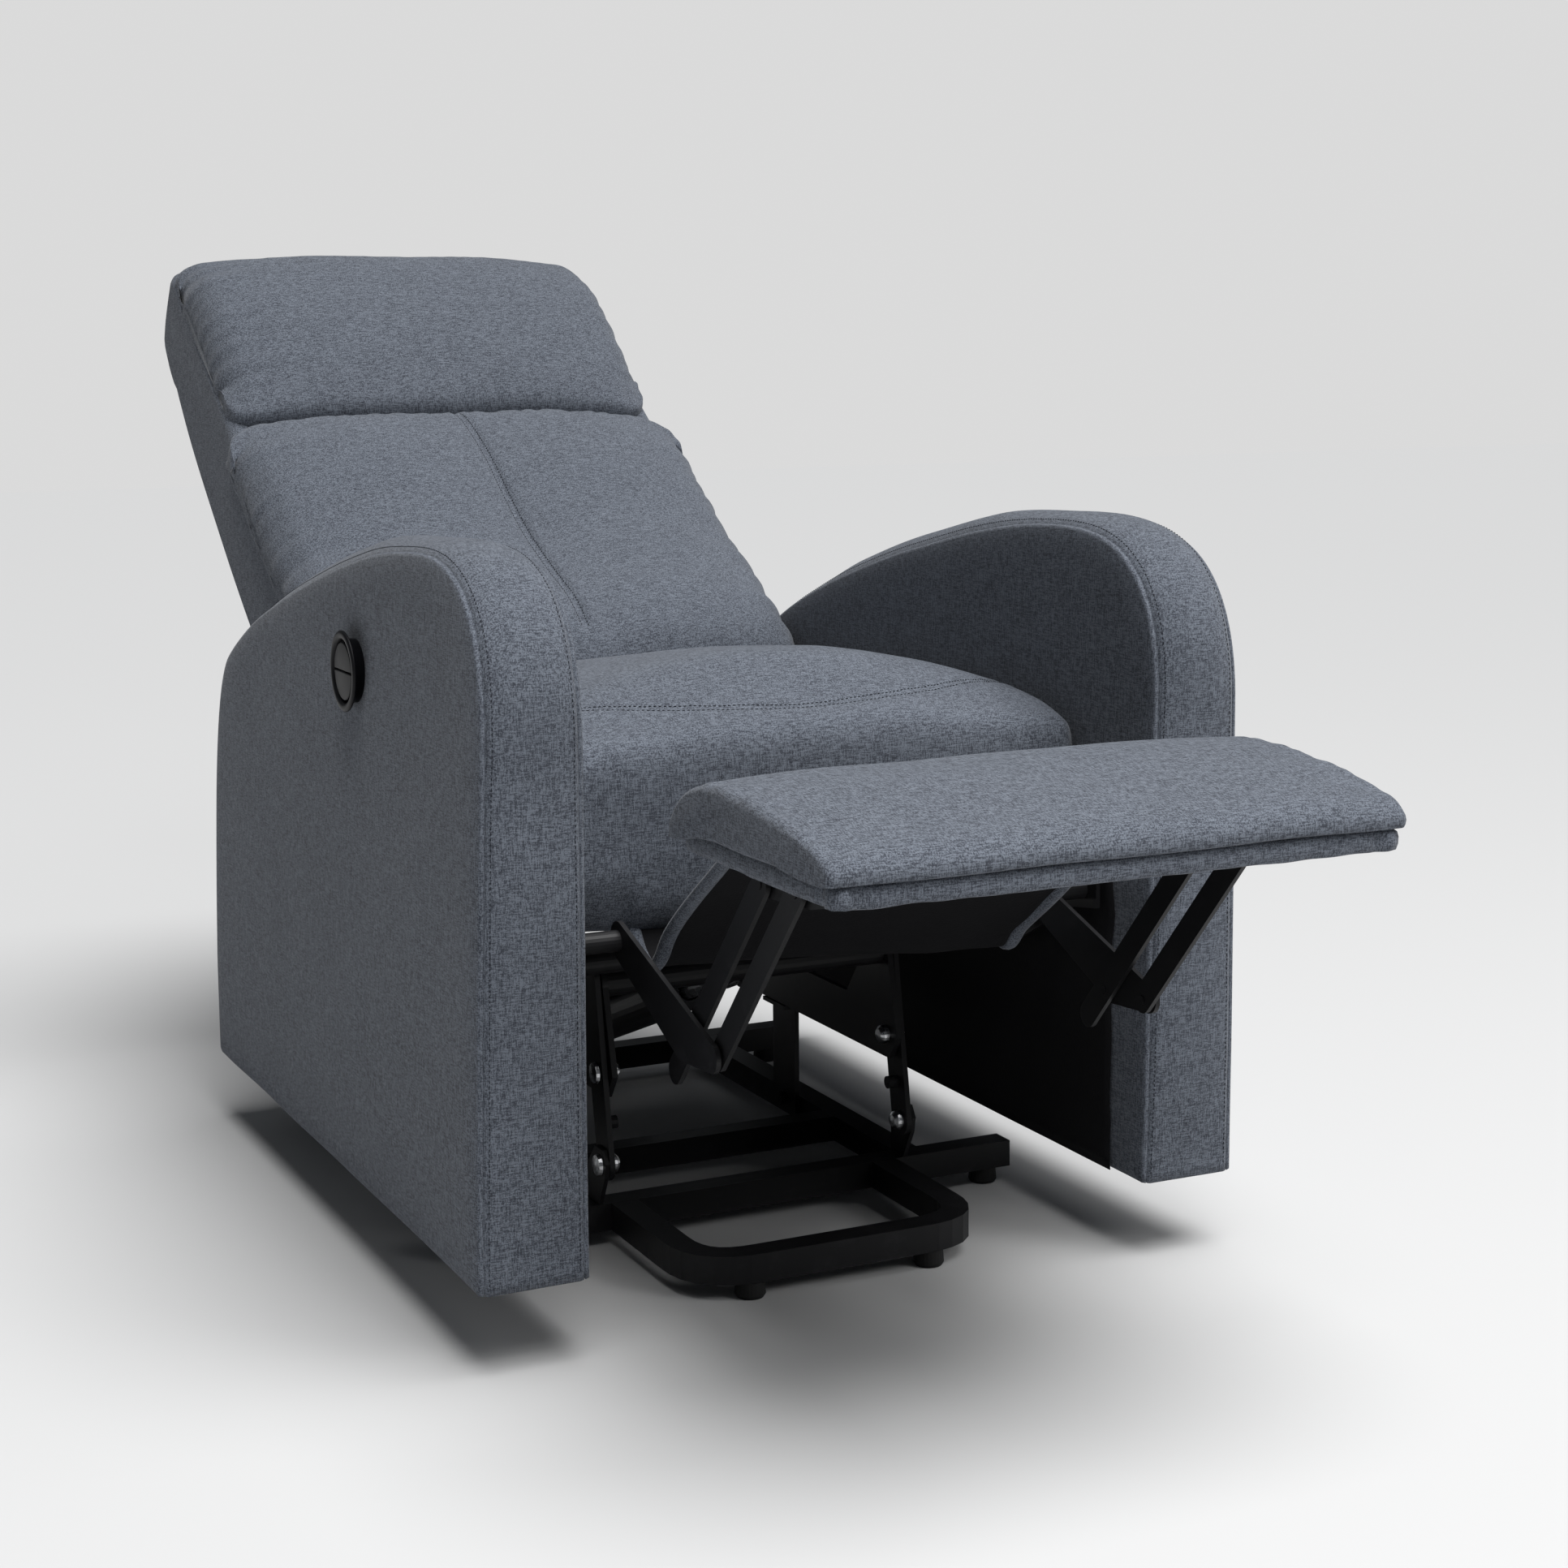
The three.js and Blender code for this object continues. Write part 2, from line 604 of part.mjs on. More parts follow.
// ---- back ----
function buildBack() {
  const back = new THREE.Group();
  back.position.set(0, BACK_PIVOT.y, BACK_PIVOT.z);
  back.rotation.x = BACK_ANGLE;
  chair.add(back);
  const seam = 432;

  const lumbar = new THREE.Shape();
  lumbar.absarc(0, 0, BACK_HEEL, -Math.PI / 2, -1.5 * Math.PI, true);
  lumbar.quadraticCurveTo(90, 36, 180, 38);
  lumbar.quadraticCurveTo(320, 42, seam - 4, 14);
  lumbar.lineTo(seam - 4, -46);
  lumbar.closePath();
  const lumbarHalf = BACK_BRACKET_X - 1.5;
  addMesh("lumbar_cushion", slab(lumbar, [-lumbarHalf, lumbarHalf], 8), fabric, back);

  const head = new THREE.Shape();
  head.moveTo(seam, -46);
  head.lineTo(seam, 14);
  head.bezierCurveTo(seam + 60, 44, 600, 56, 660, 48);
  head.quadraticCurveTo(BACK_LENGTH, 36, BACK_LENGTH, -10);
  head.lineTo(BACK_LENGTH - 4, -46);
  head.closePath();
  addMesh("headrest_cushion", slab(head, [-230, 230], 8), fabric, back);

  const shell = new THREE.Shape();
  shell.moveTo(62, -46 - GAP);
  shell.lineTo(BACK_LENGTH - 4, -46 - GAP);
  shell.quadraticCurveTo(BACK_LENGTH + 2, -84, 700, -100);
  shell.quadraticCurveTo(560, -134, 400, -146);
  shell.lineTo(110, -152);
  shell.quadraticCurveTo(72, -150, 62, -120);
  shell.closePath();
  addMesh("back_shell", slab(shell, [-230, 230], 8), fabric, back);

  for (const [side, sign] of mirrored) {
    const bracket = linkShape({ y: 0, z: 0 }, { y: 330, z: -14 }, 18);
    hole(bracket, { y: 0, z: 0 }, PIN_R + PIN_CLEARANCE);
    addMesh("back_bracket_" + side, slab(bracket, spanX(sign, BACK_BRACKET_X, 4)), blackSteel, back);
  }
}

// ---- actuator ----
function buildActuator() {
  const length = Math.hypot(ACTUATOR_FRONT.y - ACTUATOR_REAR.y, ACTUATOR_FRONT.z - ACTUATOR_REAR.z);
  const actuator = new THREE.Group();
  actuator.position.set(0, ACTUATOR_REAR.y, ACTUATOR_REAR.z);
  actuator.rotation.x = Math.atan2(ACTUATOR_FRONT.z - ACTUATOR_REAR.z, ACTUATOR_FRONT.y - ACTUATOR_REAR.y);
  chair.add(actuator);
  const tubeEnd = length - 96;
  const sleeve = [[16, 0], [16, 16], [60, 20], [tubeEnd, 20], [tubeEnd, 11], [70, 11], [70, 0]];
  const eye = hole(linkShape({ y: 0, z: 0 }, { y: 30, z: 0 }, 12), { y: 0, z: 0 }, 5);
  const motor = new THREE.CylinderGeometry(26, 26, 110, 24).translate(0, 92, -44);
  const gearbox = box(-20, 20, 30, 66, -58, 14);
  const sleeveSolid = new THREE.LatheGeometry(sleeve.map(([y, r]) => new THREE.Vector2(r, y)), 24);
  const housing = join(slab(eye, [-9, 9]), sleeveSolid, gearbox, motor);
  addMesh("actuator_housing", housing, blackPlastic, actuator);

  const rodProfile = [[76, 0], [76, 9], [length - 18, 9], [length - 18, 0]];
  const rodSolid = new THREE.LatheGeometry(rodProfile.map(([y, r]) => new THREE.Vector2(r, y)), 20);
  const rodEye = hole(linkShape({ y: length - 20, z: 0 }, { y: length, z: 0 }, 11), { y: length, z: 0 }, 5);
  addMesh("actuator_rod", join(rodSolid, slab(rodEye, [-7, 7])), zinc, actuator);
}

buildBase();
buildLiftArms();
buildCarriage();
buildArms();
buildSwitch();
buildFootrest();
buildBack();
buildActuator();

const bounds = new THREE.Box3().setFromObject(chair, true);
const group = new THREE.Group();
chair.position.set(-(bounds.min.x + bounds.max.x) / 2, -(bounds.min.y + bounds.max.y) / 2, -bounds.min.z);
group.add(chair);

export default group;
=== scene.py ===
"""Recliner armchair: padded arms, seat, back, footrest, switch and lift base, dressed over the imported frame."""

import json
import math

import bmesh
import bpy
from mathutils import Matrix, Vector, noise
from mathutils.bvhtree import BVHTree


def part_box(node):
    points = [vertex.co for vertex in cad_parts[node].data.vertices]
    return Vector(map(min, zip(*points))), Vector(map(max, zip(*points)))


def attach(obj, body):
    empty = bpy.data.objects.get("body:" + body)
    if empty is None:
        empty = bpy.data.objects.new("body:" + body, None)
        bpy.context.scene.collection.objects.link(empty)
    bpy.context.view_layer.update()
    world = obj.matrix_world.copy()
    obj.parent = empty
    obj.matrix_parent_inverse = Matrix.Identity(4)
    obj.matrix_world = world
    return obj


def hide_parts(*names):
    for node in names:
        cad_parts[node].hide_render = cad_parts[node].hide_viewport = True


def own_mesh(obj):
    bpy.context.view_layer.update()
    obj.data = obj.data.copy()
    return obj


bl_info = {
    "name": "Recliner Armchair",
    "version": (1, 0, 0),
    "blender": (4, 5, 0),
    "location": "View3D > Sidebar > Recliner",
    "description": "Builds the upholstery, finishes and studio of a power-lift recliner armchair",
    "category": "Object",
}

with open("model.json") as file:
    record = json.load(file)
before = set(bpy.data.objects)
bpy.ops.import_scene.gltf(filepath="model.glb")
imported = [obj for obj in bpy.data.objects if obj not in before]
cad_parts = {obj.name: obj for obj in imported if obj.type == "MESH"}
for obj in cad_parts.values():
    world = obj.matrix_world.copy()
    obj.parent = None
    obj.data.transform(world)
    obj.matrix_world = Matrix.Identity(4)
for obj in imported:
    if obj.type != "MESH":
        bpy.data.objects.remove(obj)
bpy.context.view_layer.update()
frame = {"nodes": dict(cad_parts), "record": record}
FRONT_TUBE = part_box("base_front_tube")
TUBE_SETBACK = 0.253  # from the front face of the arms to the middle of the frame's front tube
ORIGIN = Vector(
    ((FRONT_TUBE[0].x + FRONT_TUBE[1].x) / 2, (FRONT_TUBE[0].y + FRONT_TUBE[1].y) / 2 - TUBE_SETBACK, 0)
)
BACK_PIVOT = (0.672, 0.440)  # y and z of the back's hinge in metres
BACK_ANGLE = math.radians(38.4)
BACK_LEAN = 0.032  # sideways drift of the back per unit along it
SIDES = (("L", -1), ("R", 1))


def at(x, y, z):
    """A point given in millimetres from the front of the arms, the middle of the chair and the floor."""
    return ORIGIN + Vector((x, y, z)) / 1000


def on_back(x, a, n, spread=0.05, fade=(380, 60)):
    """A point of the back: a along it from its hinge and n out of its face, in millimetres.

    The loose back leans a little to one side, and its lower cushion spreads once it is above the arms.
    """
    cos, sin = math.cos(BACK_ANGLE), math.sin(BACK_ANGLE)
    y, z = BACK_PIVOT
    wide = 1 + spread * ease((a - 70) / 90) * (1 - ease((a - fade[0]) / fade[1]))
    lean = BACK_LEAN * max(0.0, a - 60)
    return at(x * wide - lean, 1000 * y + a * cos - n * sin, 1000 * z + a * sin + n * cos)


def on_cover(x, a, n):
    """A point of the rear cover, which spreads less than the cushions in front of it."""
    return on_back(x, a, n, 0.02, (240, 400))


# ---------------------------------------------------------------- curves


def bezier(points, steps=24):
    """Points along one straight, quadratic or cubic Bezier piece, without its first point."""
    order = len(points) - 1
    made = []
    for k in range(1, steps + 1):
        t = k / steps
        weights = [math.comb(order, i) * (1 - t) ** (order - i) * t**i for i in range(order + 1)]
        made.append(sum((w * Vector(p) for w, p in zip(weights, points)), Vector((0, 0))))
    return made


def path_of(start, *pieces):
    """A run of 2-D points from a start and pieces that each list their control points and end."""
    run = [Vector(start)]
    for piece in pieces:
        run += bezier([run[-1], *piece])
    return run


def smooth_path(knots, steps=12, closed=False):
    """A Catmull-Rom curve through knots of any dimension."""
    knots = [Vector(k) for k in knots]
    count = len(knots)
    made = []
    for i in range(count if closed else count - 1):
        pick = [(i + k) % count if closed else min(max(i + k, 0), count - 1) for k in (-1, 0, 1, 2)]
        a, b, c, d = (knots[k] for k in pick)
        for s in range(steps):
            t = s / steps
            made.append(
                0.5 * (2 * b + (c - a) * t + (2 * a - 5 * b + 4 * c - d) * t * t + (3 * b - a - 3 * c + d) * t**3)
            )
    if not closed:
        made.append(knots[-1])
    return made


def resample(points, count, closed=False):
    """The same curve as count equally spaced points."""
    run = points + [points[0]] if closed else list(points)
    lengths = [0.0]
    for a, b in zip(run, run[1:]):
        lengths.append(lengths[-1] + (b - a).length)
    made, k = [], 0
    total = lengths[-1]
    for i in range(count):
        target = total * i / (count if closed else count - 1)
        while k < len(run) - 2 and lengths[k + 1] < target:
            k += 1
        span = lengths[k + 1] - lengths[k] or 1.0
        made.append(run[k].lerp(run[k + 1], min(1.0, (target - lengths[k]) / span)))
    return made


def ease(t):
    t = min(1.0, max(0.0, t))
    return t * t * (3 - 2 * t)


def bump_at(value, centre, width):
    return math.exp(-(((value - centre) / width) ** 2))


# ---------------------------------------------------------------- meshes


def piece_from(mesh, name, body, material):
    """Turns a bmesh into a finished piece that rides on a body of the frame."""
    bmesh.ops.recalc_face_normals(mesh, faces=mesh.faces)
    data = bpy.data.meshes.new(name)
    mesh.to_mesh(data)
    mesh.free()
    data.materials.append(material)
    for face in data.polygons:
        face.use_smooth = True
    piece = bpy.data.objects.new(name, data)
    bpy.context.scene.collection.objects.link(piece)
    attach(piece, body)
    return piece


def skin(rings, wrap=True, cap=True):
    """A grid laid over rings of equally many points, closed around each ring and at both ends."""
    rows, columns = len(rings), len(rings[0])
    cells = columns if wrap else columns - 1
    mesh = bmesh.new()
    bmesh.ops.create_grid(mesh, x_segments=cells, y_segments=rows - 1, size=1)
    mesh.verts.ensure_lookup_table()
    for j, ring in enumerate(rings):
        for i in range(cells + 1):
            mesh.verts[j * (cells + 1) + i].co = ring[i % columns]
    bmesh.ops.remove_doubles(mesh, verts=mesh.verts, dist=1e-6)
    if cap:
        rim = [e for e in mesh.edges if e.is_boundary]
        bmesh.ops.holes_fill(mesh, edges=rim, sides=0)
    return mesh


def towards_core(point, core):
    """The unit direction from a 2-D point to the nearest point of a core rectangle (lo, hi)."""
    (y0, z0), (y1, z1) = core
    inside = Vector((min(max(point.x, y0), y1), min(max(point.y, z0), z1)))
    step = inside - point
    return step.normalized() if step.length > 1e-6 else Vector((0, 0))


def outward(points, i):
    """The outward normal of a closed 2-D curve that runs anticlockwise."""
    run = points[(i + 1) % len(points)] - points[i - 1]
    return Vector((run.y, -run.x)).normalized()


def soft_noise(point, size, seed=0.0):
    return noise.noise(point / size + Vector((seed, seed * 1.7, seed * 0.6)))


def crease(mesh, path, width, depth, ridge=0.0):
    """Presses a seam into a fine mesh along a path of 3-D points, with a slight swell on both sides."""
    lo = Vector([min(p[k] for p in path) - 4 * width for k in range(3)])
    hi = Vector([max(p[k] for p in path) + 4 * width for k in range(3)])
    mesh.normal_update()
    for v in mesh.verts:
        if not all(lo[k] <= v.co[k] <= hi[k] for k in range(3)):
            continue
        gap = min(distance_to_run(v.co, a, b) for a, b in zip(path, path[1:]))
        if gap < 4 * width:
            press = depth * math.exp(-((gap / width) ** 2))
            swell = ridge * math.exp(-(((gap - 2.2 * width) / width) ** 2))
            v.co += v.normal * (swell - press)


def distance_to_run(point, a, b):
    run = b - a
    t = max(0.0, min(1.0, (point - a).dot(run) / (run.length_squared or 1e-12)))
    return (point - a - run * t).length


def surface(piece):
    """A search tree over a finished piece, with its modifiers applied."""
    graph = bpy.context.evaluated_depsgraph_get()
    shown = piece.evaluated_get(graph)
    mesh = bmesh.new()
    mesh.from_mesh(shown.to_mesh())
    mesh.transform(shown.matrix_world)
    tree = BVHTree.FromBMesh(mesh)
    mesh.free()
    shown.to_mesh_clear()
    return tree


def laid_on(tree, points, direction=None, lift=0.0003):
    """Moves points on to a surface: along a direction, or to the nearest place, with the normal there."""
    made = []
    for p in points:
        if direction is not None:
            hit = tree.ray_cast(p - direction * 0.15, direction, 0.4)
        else:
            hit = tree.find_nearest(p)
        if hit[0] is not None:
            normal = hit[1]
            if direction is not None and normal.dot(direction) > 0:
                normal = -normal
            made.append((hit[0] + normal * lift, normal))
    return made


STITCH_LENGTH, STITCH_RADIUS = 0.0029, 0.00042


def stitches(name, rows, body, pitch):
    """One piece holding a short thread for every stitch along rows of (point, normal) pairs."""
    mesh = bmesh.new()
    for row in rows:
        travelled, target = 0.0, 0.0
        for (a, na), (b, nb) in zip(row, row[1:]):
            run = b - a
            if run.length < 1e-7:
                continue
            while target <= travelled + run.length:
                t = (target - travelled) / run.length
                centre, normal = a.lerp(b, t), na.lerp(nb, t).normalized()
                forward = run.normalized()
                side = normal.cross(forward).normalized()
                turn = Matrix((forward, side, normal)).transposed().to_4x4()
                scale = Matrix.Diagonal((STITCH_LENGTH / 2, STITCH_RADIUS, STITCH_RADIUS, 1))
                bmesh.ops.create_icosphere(
                    mesh, subdivisions=1, radius=1, matrix=Matrix.Translation(centre) @ turn @ scale
                )
                target += pitch
            travelled += run.length
    return piece_from(mesh, name, body, FINISHES["thread"])


# ---------------------------------------------------------------- materials


class Sock:
    """A node socket, or a plain number, that adds Math nodes as it is used in an expression."""

    def __init__(self, tree, out):
        self.tree, self.out = tree, out

    def _math(self, operation, *values):
        made = self.tree.node("ShaderNodeMath", {"operation": operation}, dict(enumerate(values)))
        return made[0]

    def __add__(self, other):
        return self._math("ADD", self, other)

    def __sub__(self, other):
        return self._math("SUBTRACT", self, other)

    def __mul__(self, other):
        return self._math("MULTIPLY", self, other)

    def __truediv__(self, other):
        return self._math("DIVIDE", self, other)

    __radd__ = __add__

    def clamp(self):
        made = self.tree.node("ShaderNodeClamp", {}, {"Value": self})
        return made["Result"]


class Finish:
    """A material whose nodes are added by type, settings and the values or links of their sockets."""

    def __init__(self, name, viewport):
        self.material = bpy.data.materials.new(name)
        self.material.use_nodes = True
        self.material.diffuse_color = (*viewport, 1)
        self.nodes = self.material.node_tree.nodes
        self.links = self.material.node_tree.links
        self.shader = self.nodes["Principled BSDF"]
        self.place = self.node("ShaderNodeTexCoord")["Object"]

    def node(self, kind, settings=None, values=None):
        made = self.nodes.new(kind)
        for key, value in (settings or {}).items():
            setattr(made, key, value)
        for key, value in (values or {}).items():
            self.feed(made.inputs[key], value)
        return Outputs(self, made)

    def feed(self, socket, value):
        if isinstance(value, Sock):
            self.links.new(value.out, socket)
        else:
            socket.default_value = value

    def surface(self, **values):
        for key, value in values.items():
            self.feed(self.shader.inputs[key.replace("_", " ")], value)
        return self.material

    def noise(self, scale, detail=2.0, rough=0.5, stretch=(1, 1, 1)):
        """Noise on the object's own coordinates in metres: scale cells a metre, stretched by axis."""
        placed = self.node("ShaderNodeMapping", {}, {"Vector": self.place, "Scale": stretch})["Vector"]
        values = {"Vector": placed, "Scale": scale, "Detail": detail, "Roughness": rough}
        return self.node("ShaderNodeTexNoise", {}, values)["Fac"]

    def blend(self, factor, a, b):
        made = self.node("ShaderNodeMix", {"data_type": "RGBA"})
        for index, value in ((0, factor), (6, a), (7, b)):
            self.feed(made.made.inputs[index], value)
        return Sock(self, made.made.outputs[2])

    def bump(self, height, strength, distance):
        values = {"Height": height, "Strength": strength, "Distance": distance}
        return self.node("ShaderNodeBump", {}, values)["Normal"]


class Outputs:
    """A node's outputs by name, each as a Sock."""

    def __init__(self, tree, made):
        self.tree, self.made = tree, made

    def __getitem__(self, key):
        return Sock(self.tree, self.made.outputs[key])


def rgba(colour):
    return (colour[0], colour[1], colour[2], 1.0)


def linen(name, light, dark, slub):
    """Heathered plain weave: fine threads along every axis, darker and lighter slubs, a soft mottled dye."""
    f = Finish(name, light)
    threads = (
        f.noise(1.0, 1.5, 0.6, (130, 1050, 1050))
        + f.noise(1.0, 1.5, 0.6, (1050, 130, 1050))
        + f.noise(1.0, 1.5, 0.6, (1050, 1050, 130))
    )
    weave = ((threads / 3 - 0.5) * 7.5 + 0.5).clamp()
    slubs = f.noise(1.0, 1.0, 0.5, (90, 1000, 1000)) + f.noise(1.0, 1.0, 0.5, (1000, 1000, 90))
    flecks = ((slubs / 2 - 0.56) * 9.0).clamp() * slub
    mottle = (f.noise(22.0, 3.0, 0.6) - 0.5) * 0.16 + (f.noise(95.0, 2.0, 0.6) - 0.5) * 0.2
    tone = (weave * 0.86 + flecks + mottle + 0.04).clamp()
    colour = f.blend(tone, rgba(dark), rgba(light))
    height = threads + f.noise(1.0, 0.0, 0.5, (420, 420, 420)) * 0.6
    rolling = f.noise(9.0, 2.0, 0.45)
    normal = f.bump(rolling, 0.35, 0.004)
    fine = {"Height": height, "Strength": 0.22, "Distance": 0.0005, "Normal": normal}
    made = f.node("ShaderNodeBump", {}, fine)
    f.shader.inputs["Sheen Weight"].default_value = 0.12
    f.shader.inputs["Sheen Roughness"].default_value = 0.5
    f.shader.inputs["Specular IOR Level"].default_value = 0.15
    return f.surface(Base_Color=colour, Roughness=0.93, Normal=made["Normal"])


def dust_cloth(name, colour):
    """Thin black lining cloth: loose fibres with faint raised dots."""
    f = Finish(name, colour)
    fibres = f.noise(1.0, 3.0, 0.7, (500, 500, 500))
    dots = f.noise(420.0, 0.0, 0.5)
    tone = f.blend((fibres * 0.8).clamp(), rgba([c * 0.5 for c in colour]), rgba([c * 1.8 for c in colour]))
    f.shader.inputs["Specular IOR Level"].default_value = 0.2
    return f.surface(Base_Color=tone, Roughness=0.9, Normal=f.bump(fibres + dots, 0.35, 0.0004))


def powder_coat(name, colour):
    """Satin powder coat: fine orange peel, worn a little glossier and greyer in patches."""
    f = Finish(name, colour)
    peel = f.noise(900.0, 2.0, 0.5)
    worn = ((f.noise(35.0, 4.0, 0.65) - 0.55) * 5.0).clamp()
    tone = f.blend(worn * 0.4, rgba(colour), rgba([c * 1.9 + 0.01 for c in colour]))
    f.shader.inputs["Specular IOR Level"].default_value = 0.22
    rough = 0.42 + peel * 0.08 + worn * 0.1
    return f.surface(Base_Color=tone, Roughness=rough, Normal=f.bump(peel, 0.12, 0.0003))


def zinc_plate(name, colour):
    """Bright zinc with a cloudy sheen."""
    f = Finish(name, colour)
    cloud = f.noise(160.0, 3.0, 0.6)
    tone = f.blend((cloud * 1.2 - 0.1).clamp(), rgba([c * 0.72 for c in colour]), rgba(colour))
    return f.surface(
        Base_Color=tone, Metallic=1.0, Roughness=0.2 + cloud * 0.18, Normal=f.bump(f.noise(1400.0), 0.1, 0.0002)
    )


def moulded(name, colour, rough, grain):
    """Moulded plastic, rubber or waxed thread: a fine grain under a soft haze."""
    f = Finish(name, colour)
    fine = f.noise(1500.0, 1.0, 0.5)
    haze = f.noise(60.0, 3.0, 0.6)
    tone = f.blend((haze * 0.9).clamp(), rgba(colour), rgba([c * 1.5 + 0.002 for c in colour]))
    f.shader.inputs["Specular IOR Level"].default_value = 0.16
    return f.surface(Base_Color=tone, Roughness=rough + haze * 0.08, Normal=f.bump(fine, grain, 0.0003))


def plywood(name, colour):
    """Plywood: long rings and short dark pores along x."""
    f = Finish(name, colour)
    rings = f.noise(1.0, 4.0, 0.6, (6, 90, 240))
    pores = ((f.noise(1.0, 1.0, 0.5, (60, 900, 900)) - 0.62) * 8.0).clamp()
    tone = f.blend(((rings - 0.3) * 2.0).clamp(), rgba([c * 0.62 for c in colour]), rgba(colour))
    tone = f.blend(pores * 0.5, tone, rgba([c * 0.35 for c in colour]))
    return f.surface(Base_Color=tone, Roughness=0.72, Normal=f.bump(rings + pores, 0.2, 0.0004))


FINISHES = {}


# ---------------------------------------------------------------- settings


def length(name, description, default):
    return bpy.props.FloatProperty(
        name=name, description=description, default=default, subtype="DISTANCE", unit="LENGTH", precision=4
    )


def colour(name, description, default):
    return bpy.props.FloatVectorProperty(
        name=name, description=description, default=default, subtype="COLOR", size=3, min=0, max=1
    )


class ReclinerSizes(bpy.types.PropertyGroup):
    """Sizes of the upholstery"""

    arm_crown: length("Arm crown", "How far the top of an arm swells between its seams", 0.009)
    arm_puff: length("Arm side puff", "How far an arm's side panel swells inside its seam", 0.003)
    seam_depth: length("Seam depth", "Depth of a sewn seam's groove", 0.0022)
    seam_width: length("Seam width", "Half width of a sewn seam's groove", 0.0035)
    stitch_pitch: length("Stitch pitch", "Distance from one stitch to the next", 0.0042)
    pucker: length("Pucker", "Depth of the gathers beside the back's seams", 0.0028)


class ReclinerColours(bpy.types.PropertyGroup):
    """Colours of the finishes"""

    fabric_light: colour("Fabric light", "Light threads of the upholstery", (0.138, 0.155, 0.185))
    fabric_dark: colour("Fabric dark", "Dark threads of the upholstery", (0.032, 0.036, 0.047))
    # Dark stitching, made darker still as painted shade so that the seams read as shaded grooves
    thread: colour("Thread", "Stitching", (0.012, 0.014, 0.019))
    dust_cloth: colour("Dust cloth", "Cloth lining under the chair", (0.004, 0.004, 0.005))
    steel: colour("Steel", "Powder coat of the metal frame", (0.008, 0.008, 0.009))
    zinc: colour("Zinc", "Plated nuts and piston rod", (0.72, 0.73, 0.75))
    rubber: colour("Rubber", "Feet", (0.014, 0.014, 0.014))
    plastic: colour("Plastic", "Switch", (0.003, 0.003, 0.004))
    motor: colour("Motor", "Actuator housing", (0.02, 0.02, 0.022))
    wood: colour("Wood", "Seat rails and footrest board", (0.50, 0.34, 0.18))
    floor: colour("Floor", "Studio floor", (0.5, 0.5, 0.5))


# ---------------------------------------------------------------- studio

FLOOR_HALF = 12
WORLD_TINT, WORLD_STRENGTH, WORLD_SEEN = (0.9, 0.95, 1, 1), 0.11, 0.88
# name, place, target, diameter and power of each area lamp
LAMPS = (
    ("key", (2.2, -3.0, 2.3), (0.15, -0.3, 0.4), 1.6, 46),
    ("front", (-0.35, -2.1, 2.5), (0.1, -0.4, 0.4), 1.1, 22),
)
OVERHEAD_AIM, OVERHEAD_STRENGTH, OVERHEAD_SPREAD = (-0.16, 0.2, -1), 4.3, math.radians(45)
CAMERA_PLACE = (-993.3, -1878.5, 804.3)
CAMERA_YAW, CAMERA_PITCH, CAMERA_ROLL = (math.radians(a) for a in (25.7777, 9.6447, -0.413))
CAMERA_LENS, CAMERA_SENSOR = 61.25, 36


def aimed(lamp, direction):
    """Turns a lamp so that it shines along a direction, and puts it in the scene."""
    lamp.rotation_euler = direction.to_track_quat("-Z", "Y").to_euler()
    bpy.context.scene.collection.objects.link(lamp)


